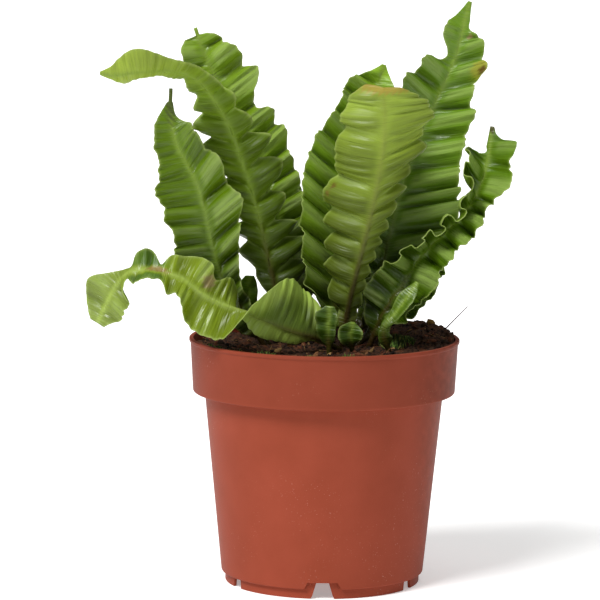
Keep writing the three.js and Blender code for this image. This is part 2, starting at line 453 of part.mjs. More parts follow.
// Each rib runs from the soil to the tip. face is the way the upper side looks, at even steps from
// foot to tip. left and right pair places up the blade, as shares of its length, with the half
// widths there, on the two sides of the rib as seen on the upper side with the tip up. notches are
// the places of the notches between the lobes of a side. Where there are none, pleat is the length
// of one pleat along the rib. step is the distance between the rows of points.
const TOWARDS = [0, -1, 0];
const AWAY = [0, 1, 0];
const FRONDS = {
  frond_left_tall: {
    rib: [[-16, -3, 109], [-19, -5, 121], [-24, -7, 140], [-30, -9, 165], [-36, -11, 185],
          [-42, -15, 202], [-49.5, -24, 216.5], [-57.5, -34, 226], [-67.5, -42, 229],
          [-79, -47, 229], [-90, -47, 227.5], [-97, -46, 228]],
    face: [AWAY, [-0.3, 1, 0], [-0.3, 1, 0.2], [0, 0.8, 0.6], [0, 0.8, 0.6]],
    left: [[0.04, 7], [0.08, 11], [0.125, 14.5], [0.17, 16.5], [0.21, 16], [0.25, 13],
           [0.3, 9], [0.33, 12], [0.38, 12.5], [0.42, 13.8], [0.445, 11.5], [0.48, 11.5],
           [0.505, 10.5], [0.53, 9], [0.57, 8.2], [0.61, 7], [0.645, 8], [0.68, 6.5],
           [0.72, 6], [0.76, 6], [0.82, 6.5], [0.87, 9], [0.9, 10.5], [0.94, 8.5],
           [0.97, 4.5], [1, 0.9]],
    right: [[0.04, 2.5], [0.1, 3.8], [0.14, 6], [0.18, 9.5], [0.22, 10], [0.25, 11],
            [0.29, 9], [0.33, 9], [0.39, 11], [0.43, 11], [0.46, 12.2], [0.5, 12.3],
            [0.56, 11.8], [0.6, 10], [0.65, 7.8], [0.72, 6], [0.78, 5], [0.82, 4.5],
            [0.87, 4], [0.92, 5], [0.945, 7.5], [0.96, 4.5], [1, 0.9]],
    notches: {left: [0.1, 0.16, 0.22, 0.28, 0.35, 0.435, 0.51, 0.59, 0.66, 0.74, 0.83, 0.94],
              right: [0.1, 0.165, 0.225, 0.285, 0.34, 0.395, 0.447, 0.505, 0.585, 0.66,
                        0.75, 0.84, 0.94]},
    rise: {left: [25, 5, -5, -5, 5, 10], right: [25, 20, 15, 15, 10, 10]},
    depth: {left: [2.5, 3.6, 3.6, 3.6, 3.4, 2.6, 1, 0.4],
            right: [2.5, 3.2, 3, 2.7, 2.7, 2.4, 1, 0.4]},
    reach: 3,
    round: -1,
    slant: {left: [0.2, 0.3, 0.3, 0.2, 0], right: [0.7, 0.7, 0.6, 0.4, 0.1]},
    lean: {left: 0.2, right: 0.3},
    scallop: {left: [0.15, 0.2, 0.25, 0.28, 0.2, 0.03], right: [0.15, 0.17, 0.15, 0.15, 0.03]},
  },
  frond_left_rear: {
    rib: [[-11, 11, 109], [-14, 13, 125], [-18, 15, 151], [-27, 15, 178], [-37, 14, 196],
          [-43, 13, 209], [-50, 12, 224], [-55, 12, 235], [-58.5, 12, 245]],
    face: [TOWARDS, TOWARDS, TOWARDS],
    left: [[0.1, 9], [0.3, 12], [0.6, 12], [0.85, 11], [0.93, 10], [0.97, 9], [1, 6]],
    right: [[0.1, 10], [0.25, 13], [0.35, 13.5], [0.42, 14.8], [0.484, 15.8], [0.52, 16],
            [0.545, 18.3], [0.6, 18.4], [0.632, 18.6], [0.665, 17.2], [0.7, 12.3],
            [0.735, 13.2], [0.765, 17], [0.81, 18.6], [0.834, 15], [0.865, 16.5],
            [0.905, 14], [0.93, 11], [0.97, 9.5], [1, 4.5]],
    notches: {right: [0.1, 0.18, 0.26, 0.335, 0.4, 0.46, 0.519, 0.597, 0.7, 0.824, 0.93]},
    rise: {left: [35, 30, 22, 16, 10], right: [25, 15, 10, 10, 10]},
    tail: 4,
    pleat: 11.5,
    scallop: {left: 0.15, right: [0.15, 0.15, 0.2, 0.2, 0.1]},
  },
  frond_left_broad: {
    rib: [[-28, -4, 108], [-35, -7, 119], [-44, -12, 133], [-50, -16, 153], [-54, -19, 171],
          [-58.5, -20, 183], [-65, -20, 195], [-68, -19, 207], [-68, -17, 220]],
    face: [[0.3, -1, 0], [0.35, -1, 0], [0.3, -1, 0]],
    left: [[0.05, 6], [0.1, 10], [0.15, 14], [0.2, 16.5], [0.27, 18], [0.4, 19.5],
           [0.5, 18.6], [0.53, 21], [0.565, 19.5], [0.62, 19.9], [0.68, 19], [0.73, 15.3],
           [0.777, 11.2], [0.833, 11], [0.87, 9], [0.9, 8.2], [0.96, 4], [1, 1.5]],
    right: [[0.06, 5], [0.12, 6], [0.2, 7.5], [0.28, 10], [0.36, 13], [0.42, 15.5],
            [0.45, 17], [0.49, 16], [0.55, 14], [0.6, 14], [0.64, 13.5], [0.69, 12],
            [0.715, 12], [0.757, 11.7], [0.82, 9], [0.86, 8.5], [0.9, 6], [0.95, 2.5],
            [1, 1.2]],
    notches: {left: [0.05, 0.13, 0.2, 0.28, 0.35, 0.42, 0.496, 0.565, 0.68, 0.773, 0.95],
              right: [0.06, 0.14, 0.22, 0.31, 0.41, 0.565, 0.695, 0.9]},
    rise: {left: [20, 10, 5, 5, 5], right: [30, 25, 20, 15, 10]},
    tail: 6,
    depth: {left: [2, 1.8, 1.8, 1.5, 0.8, 0.4], right: [2.5, 3.5, 3.5, 3.5, 1.5, 0.5]},
    slant: {left: 0.25, right: 0.6},
    scallop: {left: 0.08, right: [0.1, 0.2, 0.25, 0.2, 0]},
  },
  frond_front_pale: {
    rib: [[8, -10, 108], [10.4, -14, 125], [14, -20, 142], [19.5, -25, 166.5],
          [23, -28, 186], [24.8, -30, 205], [24, -29, 222]],
    face: [AWAY, AWAY, AWAY],
    left: [[0.05, 3.5], [0.1, 5.5], [0.2, 6], [0.27, 6], [0.37, 7.6], [0.41, 8.2],
           [0.451, 9.2], [0.481, 8.8], [0.51, 11.5], [0.571, 11.8], [0.604, 12],
           [0.634, 14.5], [0.66, 17], [0.714, 19.1], [0.776, 20.3], [0.83, 21.5],
           [0.88, 21.5], [0.92, 20], [0.96, 16.5], [0.985, 12], [1, 8]],
    right: [[0.08, 4], [0.138, 8.4], [0.19, 13.7], [0.31, 16.5], [0.395, 18.5],
            [0.44, 20.5], [0.48, 22.2], [0.54, 23], [0.59, 24], [0.63, 21.5], [0.7, 20.3],
            [0.765, 21.5], [0.83, 19.5], [0.89, 19], [0.94, 16.5], [0.98, 12], [1, 8]],
    notches: {left: [0.1, 0.165, 0.23, 0.29, 0.345, 0.395, 0.455, 0.515, 0.58, 0.645, 0.735, 0.98],
              right: [0.1, 0.2, 0.3, 0.395, 0.48, 0.61, 0.81, 0.92]},
    depth: {left: [1.8, 1.9, 1.8, 1.7, 1.2, 0.5], right: [2, 2.4, 2.3, 1.6, 0.8]},
    round: -1,
    slant: {left: [0.85, 0.85, 0.85, 0.7, 0.4, -0.05], right: [0, 0, 0, 0.2]},
    lean: {left: 0, right: -1.5},
    scallop: {left: [0.1, 0.15, 0.15, 0.1, 0.04], right: 0.06},
  },
  frond_middle: {
    rib: [[2, 2, 110], [5, 2, 125], [8, 2, 148], [12, 2, 170], [16, 3, 192], [20, 4, 210],
          [25, 5, 230]],
    face: [TOWARDS, TOWARDS, TOWARDS],
    left: [[0.06, 18], [0.125, 22], [0.25, 25.5], [0.375, 28.5], [0.5, 28], [0.625, 23],
           [0.75, 17], [0.86, 15], [0.93, 9], [0.97, 4], [1, 0.9]],
    right: [[0.06, 12], [0.125, 16], [0.25, 16], [0.375, 16], [0.5, 18], [0.625, 18],
            [0.75, 15], [0.875, 10], [1, 0.9]],
    pleat: 11,
    slant: [0.5, 0.5, 0.5, 0.5, 0.25],
    scallop: 0.1,
  },
  frond_right_tall: {
    rib: [[19, 6, 109], [22, 9, 125], [28, 13, 151], [35, 17, 178], [43, 20, 200],
          [48.8, 20, 213], [54.4, 20, 225.6], [57.4, 20, 233.2], [59.5, 20, 242.6],
          [63.3, 20, 257.5]],
    face: [TOWARDS, TOWARDS, TOWARDS],
    left: [[0.1, 11], [0.25, 14], [0.45, 16], [0.6, 18], [0.671, 19.5], [0.7, 19.3],
           [0.733, 15.4], [0.765, 15.2], [0.789, 12.4], [0.807, 6.7], [0.83, 4], [0.85, 5],
           [0.88, 8.6], [0.904, 8.4], [0.935, 6.1], [0.961, 3.6], [1, 0.9]],
    right: [[0.1, 12], [0.2, 22], [0.27, 28.5], [0.32, 29.5], [0.374, 27.7], [0.422, 25.7],
            [0.46, 24.2], [0.5, 22.8], [0.544, 21.2], [0.59, 20.8], [0.62, 20.5],
            [0.675, 15.8], [0.7, 14], [0.746, 14.1], [0.765, 15.3], [0.79, 13.5],
            [0.832, 11.5], [0.852, 10.8], [0.885, 8.5], [0.905, 6.5], [0.915, 4],
            [0.95, 2.2], [1, 0.9]],
    notches: {left: [0.1, 0.18, 0.26, 0.34, 0.42, 0.5, 0.58, 0.655, 0.726, 0.815, 0.95],
              right: [0.05, 0.13, 0.21, 0.29, 0.369, 0.41, 0.489, 0.577, 0.668, 0.738, 0.82,
                        0.89, 0.95]},
    rise: {left: [35, 30, 22, 16, 10], right: [25, 12, 18, 16, 10]},
    depth: [2.8, 2.8, 3, 3, 3, 2.2, 0.6],
    slant: {left: 0.27, right: [0.4, 0.4, 0.4, 0.4, 0.5, 0.7, 0.6, 0.2]},
    scallop: [0.08, 0.08, 0.08, 0.1, 0.15, 0.15, 0.02],
  },
  frond_right_ruffled: {
    rib: [[21, -6, 109], [24.5, -9, 118], [30.3, -12, 128.7], [34.6, -13, 134.9],
          [41.4, -14, 146.5], [50.5, -15, 156.3], [60.4, -16, 166.5], [67.2, -16, 178.9],
          [70.5, -16, 190.7], [72, -16, 204.7]],
    face: [[-0.3, -0.8, 0.4], [-0.4, -0.8, 0.6], [-0.5, -1, 0.2]],
    left: [[0.1, 11], [0.25, 14], [0.4, 14], [0.5, 14], [0.65, 14], [0.73, 14.5],
           [0.77, 13], [0.8, 12], [0.83, 11.5], [0.85, 10.5], [0.865, 8.5], [0.878, 5],
           [0.89, 2.2], [0.92, 1.8], [1, 0.9]],
    right: [[0.12, 14], [0.19, 17], [0.243, 16.5], [0.3, 20.5], [0.35, 19.5], [0.407, 15],
            [0.45, 18.5], [0.507, 13], [0.555, 16.5], [0.6, 13], [0.63, 15.5], [0.668, 9.5],
            [0.69, 12], [0.715, 11], [0.76, 15.2], [0.81, 16], [0.86, 12.5], [0.9, 13],
            [0.93, 13], [0.96, 4], [1, 0.9]],
    notches: {right: [0.06, 0.14, 0.243, 0.407, 0.507, 0.591, 0.664, 0.714, 0.857, 0.955]},
    rise: {left: [20, 20, 48, 85, 100, 102, 70, 20, 20], right: [20, 10, 5, 5, 10]},
    curl: {left: [18, 18, 18, 24, 26, 26, 20, 18, 18], right: 18},
    pleat: 10.5,
    depth: {left: [2, 2.5, 2.5, 2.3, 2.5, 2.5, 2, 1], right: [2.5, 3, 3, 3, 3, 2, 1]},
    sharp: {left: [1, 1, 0, 0, 0, 0, 1], right: 1},
    meander: {left: [0, 0, 1, 1.4, 1.4, 0.8, 0], right: 0},
    slant: {left: [0.15, 0.15, 0.15, 0.15, 0.4, 0.6, 0.3], right: 0.15},
    lean: {left: 0, right: 0.8},
    scallop: {left: 0.1, right: 0.15},
  },
  frond_front_low: {
    rib: [[3, -18, 108], [-3, -24, 112], [-12, -30, 115], [-22, -33, 119], [-33, -34.5, 124],
          [-45, -35, 128], [-53, -36, 132.5], [-62.5, -38, 139.5], [-72.5, -38, 142.5],
          [-79, -36, 142.5], [-85, -33, 141], [-90, -29, 136], [-94.5, -27, 128],
          [-99, -26, 118]],
    face: [[-0.3, 0.5, 0.9], [-0.2, 0.4, 0.9], [0.1, -0.2, 1], [0.3, -0.8, 0.6],
           [0.2, -0.8, 0.6], [0, -0.6, 0.8], [-0.4, -0.8, 0.5], [-0.5, -0.9, 0.2]],
    left: [[0.03, 5], [0.06, 9.5], [0.09, 16.5], [0.12, 23], [0.15, 26.5], [0.18, 26],
           [0.22, 23.5], [0.25, 20.5], [0.275, 16.5], [0.3, 12.5], [0.32, 11.5],
           [0.34, 11.5], [0.37, 14], [0.42, 15], [0.47, 16.5], [0.52, 13], [0.56, 9],
           [0.59, 8], [0.62, 10], [0.65, 5], [0.68, 7], [0.72, 8.5], [0.76, 6], [0.785, 3],
           [0.81, 5], [0.85, 11], [0.9, 13.5], [0.95, 11], [0.98, 6], [1, 4]],
    right: [[0.05, 3], [0.1, 4.5], [0.2, 7], [0.28, 9], [0.32, 9.5], [0.36, 11],
            [0.4, 13.5], [0.44, 12], [0.48, 8.5], [0.52, 13], [0.56, 13], [0.6, 10],
            [0.64, 8], [0.665, 3.5], [0.69, 8], [0.72, 10.5], [0.745, 8], [0.765, 3.5],
            [0.8, 3.5], [0.84, 6.5], [0.88, 13], [0.92, 12], [0.96, 8], [1, 4]],
    rise: {left: [50, 85, 88, 85, 72, 5, -15, -15, -10, -5, 0, 0, 0, 0, 0],
           right: [10, -45, -75, 5, 10, 20, 5, 5]},
    curl: {left: [18, 30, 35, 35, 25, 18, 18, 18, 18, 18, 18, 18, 18, 18, 18], right: 18},
    pleat: 15,
    depth: {left: [1, 0.6, 0.5, 1, 1.2, 1.5, 2.2, 2.2, 1.5, 1],
            right: [1, 1.2, 1.2, 1.2, 1.2, 1.5, 2.2, 2.2, 1.5, 1]},
    slant: {left: [0, -0.1, -0.15, 0, 0.15, 0.1, 0, 0, 0, 0, 0, 0, 0, 0, 0], right: 0.05},
    lean: 0,
    scallop: 0.03,
  },
  frond_small_left: {
    rib: [[-26, 4, 107], [-31, 4, 116], [-34, 3, 125], [-33.5, 2, 136]],
    face: [[0.4, -1, 0.3], [0.3, -1, 0]],
    left: [[0.25, 4], [0.6, 5], [0.85, 5], [1, 2]],
    right: [[0.25, 3], [0.6, 4], [0.85, 4], [1, 2]],
    pleat: 9,
  },
  frond_small_right: {
    rib: [[28, -23, 107], [25.8, -26, 113], [26.2, -27, 118], [31, -28, 124],
          [34.5, -28.5, 129], [40, -28, 137.5]],
    face: [[0, -1, 0.3], [-0.3, -0.7, 0.6], [-0.5, -0.9, 0.2]],
    left: [[0.1, 2.5], [0.3, 2], [0.5, 3.2], [0.75, 3.8], [0.9, 2.5], [1, 1]],
    right: [[0.08, 3.5], [0.25, 2], [0.5, 3.5], [0.75, 4], [0.9, 2.5], [1, 1]],
    pleat: 14,
    depth: 1.5,
  },
  frond_small_middle: {
    rib: [[2, -26, 107], [1.5, -28.5, 116], [2, -31, 127]],
    face: [[-0.2, -1, 0.3], [-0.2, -1, 0.1]],
    left: [[0.2, 4], [0.5, 5.5], [0.8, 5.5], [1, 2]],
    right: [[0.2, 3], [0.5, 3.5], [0.8, 4], [1, 2]],
    pleat: 7,
    depth: 1.2,
  },
  frond_small_front: {
    rib: [[12, -24, 107], [11, -28, 113], [12, -30, 120]],
    face: [[0, -1, 0.3], [0, -1, 0.2]],
    left: [[0.25, 4], [0.5, 6], [0.75, 5], [1, 1]],
    right: [[0.25, 4], [0.5, 6], [0.75, 5], [1, 1]],
    pleat: 6,
    depth: 1.5,
  },
  frond_rear_left: {
    rib: [[-11, 21, 108], [-14, 31, 130], [-19, 40, 155], [-25, 46, 178], [-30, 48, 192]],
    face: [TOWARDS, TOWARDS, [0, -0.9, 0.4]],
    left: [[0.17, 8], [0.33, 12], [0.5, 14], [0.67, 13], [0.83, 9], [1, 0.9]],
    right: [[0.17, 8], [0.33, 12], [0.5, 14], [0.67, 13], [0.83, 9], [1, 0.9]],
    pleat: 12,
    step: 4,
  },
  frond_rear_middle: {
    rib: [[1, 18, 108], [4, 31, 132], [7, 43, 158], [11, 51, 182], [15, 54, 200]],
    face: [TOWARDS, TOWARDS, [0, -0.9, 0.4]],
    left: [[0.17, 8], [0.33, 12], [0.5, 14], [0.67, 13], [0.83, 9], [1, 0.9]],
    right: [[0.17, 8], [0.33, 12], [0.5, 14], [0.67, 13], [0.83, 9], [1, 0.9]],
    pleat: 12,
    step: 4,
  },
  frond_rear_right: {
    rib: [[15, 18, 108], [25, 29, 132], [34, 38, 158], [41, 43, 180], [46, 45, 198]],
    face: [[-0.3, -1, 0], [-0.3, -1, 0], [-0.3, -0.9, 0.4]],
    left: [[0.17, 7], [0.33, 10], [0.5, 12], [0.67, 12], [0.83, 9], [1, 0.9]],
    right: [[0.17, 7], [0.33, 12], [0.5, 14], [0.67, 13], [0.83, 9], [1, 0.9]],
    pleat: 12,
    step: 4,
  },
  frond_rear_low: {
    rib: [[17, -1, 108], [27, -2, 117], [38, -3, 128], [45, -3, 142], [48, -4, 154]],
    face: [[-0.5, -0.9, 0.3], [-0.3, -1, 0.2], [-0.3, -0.9, 0.1]],
    left: [[0.2, 6], [0.4, 10], [0.6, 11], [0.8, 9], [1, 0.9]],
    right: [[0.2, 6], [0.4, 10], [0.6, 11], [0.8, 9], [1, 0.9]],
    pleat: 11,
    step: 4,
  },
};

const GREEN = "#6f8f35";
const plant = new THREE.Group();

function addPiece(name, geometry, color, roughness) {
  const mesh = new THREE.Mesh(geometry, new THREE.MeshStandardMaterial({ color, roughness, metalness: 0 }));
  mesh.name = name;
  plant.add(mesh);
}

addPiece("pot", makePot(), "#a3523b", 0.55);
addPiece("soil", makeSoil(Object.values(FRONDS).map(frondSurface)), "#2b1d16", 0.95);
for (const [name, spec] of Object.entries(FRONDS)) addPiece(name, makeFrond(spec), GREEN, 0.45);

// The origin goes under the middle of the outline.
const middle = new THREE.Box3().setFromObject(plant).getCenter(new THREE.Vector3());
plant.position.set(-middle.x, -middle.y, 0);

const object = new THREE.Group();
object.add(plant);
export default object;
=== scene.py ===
import math

import bmesh
import bpy
import numpy as np
from mathutils import Matrix, Vector, noise


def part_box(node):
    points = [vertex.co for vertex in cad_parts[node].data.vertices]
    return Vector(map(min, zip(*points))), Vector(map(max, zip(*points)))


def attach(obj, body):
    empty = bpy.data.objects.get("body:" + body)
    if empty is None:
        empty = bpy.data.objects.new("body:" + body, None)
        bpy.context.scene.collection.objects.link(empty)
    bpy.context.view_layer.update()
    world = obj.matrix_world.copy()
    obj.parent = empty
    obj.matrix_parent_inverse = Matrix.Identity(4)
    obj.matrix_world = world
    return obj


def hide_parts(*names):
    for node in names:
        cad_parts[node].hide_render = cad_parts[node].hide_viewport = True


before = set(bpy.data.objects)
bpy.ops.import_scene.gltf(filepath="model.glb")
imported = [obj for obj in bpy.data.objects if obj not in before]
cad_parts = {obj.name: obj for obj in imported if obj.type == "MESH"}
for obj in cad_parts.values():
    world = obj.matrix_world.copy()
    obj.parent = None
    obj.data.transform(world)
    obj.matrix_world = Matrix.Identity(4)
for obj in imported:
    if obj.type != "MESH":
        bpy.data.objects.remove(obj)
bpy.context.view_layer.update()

# The fern's sizes below are in millimetres, round the pot's axis, as in the solids' own source.
MM = 0.001
TAU = 2 * math.pi
pot_low, pot_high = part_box("pot")
AXIS = np.array([(pot_low.x + pot_high.x) / 2, (pot_low.y + pot_high.y) / 2, pot_low.z])


# Camera

CAMERA_TARGET = Vector((-0.011, 0, 0.1256))  # metres from the pot's axis
CAMERA_DISTANCE = 1.45  # metres
CAMERA_ELEVATION = math.radians(7.4)
CAMERA_ROLL = math.radians(0.55)
LENS, SENSOR_WIDTH = 196.2, 36  # mm


def make_camera():
    data = bpy.data.cameras.new("camera")
    data.lens = LENS
    data.sensor_width = SENSOR_WIDTH
    camera = place_object("camera", data)
    back = Vector((0, -math.cos(CAMERA_ELEVATION), math.sin(CAMERA_ELEVATION)))
    camera.location = Vector(AXIS) + CAMERA_TARGET + back * CAMERA_DISTANCE
    turned = (-back).to_track_quat("-Z", "Y").to_matrix() @ Matrix.Rotation(CAMERA_ROLL, 3, "Z")
    camera.rotation_euler = turned.to_euler()
    bpy.context.scene.camera = camera


# Stage

FLOOR_SIZE = 60  # metres, so that its edge is out of sight
WHITE = (1, 1, 1, 1)
FLOOR_FINISH = {
    "Base Color": (0.93, 0.93, 0.925, 1), "Emission Color": WHITE, "Emission Strength": 0.33,
    "Roughness": 0.9,
}
SKY_STRENGTH = 0.24
# The way towards each sun, its strength, and the angle in degrees that it fills.
SUNS = {"key": ((-0.56, -0.6, 1.0), 3.3, 24), "top": ((0.25, 0.1, 1.0), 0.7, 50)}


def make_stage():
    bpy.ops.mesh.primitive_plane_add(size=FLOOR_SIZE, location=(0, 0, 0))
    floor = bpy.context.object
    floor.name = "floor"
    n = Nodes("floor")
    n.keep(FLOOR_FINISH)
    floor.data.materials.append(n.material)

    world = bpy.data.worlds.new("world")
    world.use_nodes = True
    background = world.node_tree.nodes["Background"]
    background.inputs["Color"].default_value = WHITE
    background.inputs["Strength"].default_value = SKY_STRENGTH
    bpy.context.scene.world = world

    for name, values in SUNS.items():
        add_sun(name, *values)
    settings = bpy.context.scene.view_settings
    settings.view_transform = "Standard"
    settings.look = "None"


def add_sun(name, towards, strength, degrees):
    data = bpy.data.lights.new(name, "SUN")
    data.energy = strength
    data.angle = math.radians(degrees)
    sun = place_object(name, data)
    sun.rotation_euler = Vector(towards).to_track_quat("Z", "Y").to_euler()


# Small tools

def linear(hex_colour):
    """A colour such as "#6f8f35" as linear red, green and blue, by the usual screen curve."""
    parts = np.array([int(hex_colour[i : i + 2], 16) / 255 for i in (1, 3, 5)])
    return np.where(parts <= 0.04045, parts / 12.92, ((parts + 0.055) / 1.055) ** 2.4)


def smooth(start, end, x):
    t = np.clip((x - start) / (end - start), 0, 1)
    return t * t * (3 - 2 * t)


def along(values, x):
    """A smooth value at x, from 0 to 1, through values at even steps."""
    values = np.asarray(values, float)
    last = len(values) - 1
    place = np.clip(x, 0, 1) * last
    k = np.minimum(last - 1, place.astype(int))
    t = place - k
    if values.ndim == 2:
        t = t[..., None]
    p, q, r, s = (values[np.clip(k + step, 0, last)] for step in (-1, 0, 1, 2))
    return q + 0.5 * t * (r - p + t * (2 * p - 5 * q + 4 * r - s + t * (3 * (q - r) + s - p)))


def through(table, x):
    """A smooth value at x, from 0 to 1, through a table of values at percents."""
    percents, values = np.array([*table.items()], float).T
    places = percents / 100
    steepness = np.gradient(values, places)
    k = np.clip(np.searchsorted(places, x) - 1, 0, len(places) - 2)
    step = places[k + 1] - places[k]
    t = np.clip((x - places[k]) / step, 0, 1)
    rise = values[k + 1] - values[k]
    start, end = steepness[k] * step, steepness[k + 1] * step
    return values[k] + t * (start + t * (3 * rise - 2 * start - end + t * (start + end - 2 * rise)))


def setting(value, side, x):
    """A shape value at x: a number, a list at even steps, or a pair of those for left and right."""
    if isinstance(value, tuple):
        value = value[side > 0]
    return along(value, x) if isinstance(value, list) else value


def unit(vectors):
    least = 1e-12
    return vectors / np.maximum(np.linalg.norm(vectors, axis=-1, keepdims=True), least)


def centripetal(points, steps):
    """Points along the centripetal Catmull-Rom curve through points, steps to each span."""
    ends = [2 * points[0] - points[1], *points, 2 * points[-1] - points[-2]]
    t = np.linspace(0, 1, steps, endpoint=False)[:, None]
    spans = []
    for a, b, c, d in zip(ends, ends[1:], ends[2:], ends[3:]):
        before, here, after = (np.linalg.norm(q - p) ** 0.5 for p, q in ((a, b), (b, c), (c, d)))
        start = here * ((b - a) / before - (c - a) / (before + here) + (c - b) / here)
        end = here * ((c - b) / here - (d - b) / (here + after) + (d - c) / after)
        cubic = 2 * b - 2 * c + start + end
        square = -3 * b + 3 * c - 2 * start - end
        spans.append(b + t * (start + t * (square + t * cubic)))
    return np.concatenate([*spans, [points[-1]]])


def place_object(name, data):
    made = bpy.data.objects.new(name, data)
    bpy.context.scene.collection.objects.link(made)
    return made


def new_mesh(name, vertices, faces, material):
    """A smooth mesh object from vertices in metres and faces of vertex numbers."""
    mesh = bpy.data.meshes.new(name)
    mesh.from_pydata(vertices.tolist(), [], faces.tolist(), shade_flat=False)
    mesh.validate()
    mesh.materials.append(material)
    return place_object(name, mesh)


def store(piece, name, kind, key, values):
    """Keeps one value for each vertex of a piece under a name."""
    attribute = piece.data.attributes.new(name, kind, "POINT")
    attribute.data.foreach_set(key, np.asarray(values, np.float32).ravel())


def ring_faces(rings, sides):
    """Vertex numbers of rings with as many points each, and the four-cornered faces between them."""
    index = np.arange(rings * sides).reshape(rings, sides)
    turned = np.roll(index, -1, axis=1)
    return index, np.stack([index[:-1], turned[:-1], turned[1:], index[1:]], -1).reshape(-1, 4)


def belongs(piece, slot, *nodes):
    """The piece rides on the one body and stands for the named solids, which are hidden. The slot is not
    used.
    """
    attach(piece, "root")
    if nodes:
        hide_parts(*nodes)


# Materials

class Nodes:
    """Short calls for building one node material."""

    def __init__(self, name):
        self.material = bpy.data.materials.new(name)
        self.material.use_nodes = True
        self.tree = self.material.node_tree
        self.shader = self.tree.nodes["Principled BSDF"]

    def add(self, kind, inputs=(), **settings):
        node = self.tree.nodes.new("ShaderNode" + kind)
        for key, value in settings.items():
            setattr(node, key, value)
        for key, value in dict(inputs).items():
            if isinstance(value, bpy.types.NodeSocket):
                self.tree.links.new(value, node.inputs[key])
            else:
                node.inputs[key].default_value = value
        return node

    def link(self, value, key):
        self.tree.links.new(value, self.shader.inputs[key])

    def keep(self, finish):
        """Sets the values of a finish that are the same all over a piece."""
        for key, value in finish.items():
            self.shader.inputs[key].default_value = value

    def attribute(self, name, output):
        return self.add("Attribute", attribute_name=name).outputs[output]

    def place(self):
        return self.add("TexCoord").outputs["Object"]

    def noise(self, vector, scale, detail):
        return self.add("TexNoise", {"Vector": vector, "Scale": scale, "Detail": detail}).outputs["Fac"]

    def math(self, operation, a, b):
        return self.add("Math", {0: a, 1: b}, operation=operation).outputs[0]

    def spread(self, value, low, high, start=0.0, end=1.0):
        """Value stretched from between low and high to between start and end, and held there."""
        ends = {"From Min": low, "From Max": high, "To Min": start, "To Max": end}
        return self.add("MapRange", {"Value": value, **ends}).outputs["Result"]

    def scaled(self, colour, by):
        return self.add("VectorMath", {0: colour, "Scale": by}, operation="SCALE").outputs[0]

    def mix(self, factor, a, b):
        """Colour a turned into colour b by a factor. A colour is three numbers or a node's output."""
        a, b = (v if isinstance(v, bpy.types.NodeSocket) else (*v, 1) for v in (a, b))
        return self.add("Mix", {0: factor, 6: a, 7: b}, data_type="RGBA").outputs[2]

    def stretched(self, vector, scale):
        return self.add("Mapping", {"Vector": vector, "Scale": scale}).outputs["Vector"]

    def bump(self, height, distance):
        normal = self.add("Bump", {"Height": height, "Distance": distance}).outputs["Normal"]
        self.link(normal, "Normal")
        return normal


LEAF_SIDES = {"leaf_upper": (0.28, 0.38), "leaf_under": (0.36, 0.24)}  # roughness and gloss
VEIN_DEPTH = 0.0004  # metres
LET_THROUGH = 0.25  # share of the light
# How often veins, streaks and mottling vary in a metre up the rib and across from it.
VEINS, STREAKS, MOTTLING = (1500, 60, 0), (420, 30, 0), (90, 90, 0)


def frond_material(name, roughness, gloss):
    """Leaf with fine side veins. The place on the leaf and its tint, with painted light and shade, come from
    the mesh.
    """
    n = Nodes(name)
    place = n.attribute("leaf_place", "Vector")  # metres up the rib and across from it
    tint = n.attribute("leaf_tint", "Color")
    veins = n.noise(n.stretched(place, VEINS), scale=1.0, detail=2.0)
    streaks = n.noise(n.stretched(place, STREAKS), scale=1.0, detail=2.0)
    mottle = n.noise(n.stretched(place, MOTTLING), scale=1.0, detail=4.0)
    shade = n.spread(n.math("ADD", veins, streaks), 0.7, 1.3, start=0.88, end=1.12)
    shade = n.math("MULTIPLY", shade, n.spread(mottle, 0.3, 0.7, start=0.92, end=1.08))
    colour = n.scaled(tint, shade)
    n.link(colour, "Base Color")
    n.link(n.spread(streaks, 0.35, 0.65, start=roughness - 0.08, end=roughness + 0.1), "Roughness")
    n.keep({"Specular IOR Level": gloss})
    normal = n.bump(n.math("ADD", veins, streaks), VEIN_DEPTH)
    thin = n.add("BsdfTranslucent", {"Color": colour, "Normal": normal})
    mixed = n.add("MixShader", {0: LET_THROUGH, 1: n.shader.outputs[0], 2: thin.outputs[0]})
    output = n.tree.nodes["Material Output"]
    n.tree.links.new(mixed.outputs[0], output.inputs["Surface"])
    return n.material


# Fronds

CURVE_STEPS = 60  # from each point of the rib to the next
STALK_DEPTH = 8  # below the first point of the rib
STALK_HALF = 1.35
BLADE_START = STALK_DEPTH + 2
FULL_PLEAT_WIDTH = 10  # how much wider than a stalk half a blade is where its pleats are full
OPEN_WIDTH = 5  # the same for where it counts as open
# A blade's form. Each value is a number, a list at even steps up the blade, or a pair of those for
# its left and right half.
SHAPE = dict(
    pleat=12,  # from one pleat to the next, where no notches are given
    depth=2.8,  # swing of the pleats to each side
    scallop=0.17,  # swing of the margin, as a share of the half width
    curl=18,  # degrees by which half a blade bends from rib to margin
    slant=0.25,  # lean of the pleats towards the tip, as a share of the half width
    round=1,  # 1 where the wide parts bulge to the upper side, -1 to the under side
    lean=0.8,  # how far the crests tip towards the frond's tip
    rise=[35, 30, 22, 16, 10],  # degrees by which half a blade is lifted from flat
    phase=(0, 0.3),  # shift of the pleats, in pleats
    reach=2.5,  # how soon the pleats deepen from the rib outwards
    sharp=1,  # 1 for narrow valleys between round crests, 0 for an even wave
    meander=0,  # how far the pleats fold over each other
    tail=0,  # bare rib beyond the blade
    shaded=0.6,  # share of the blade over which the shade at its foot fades
    brown=0.4,  # the same for the brown of its rib
)
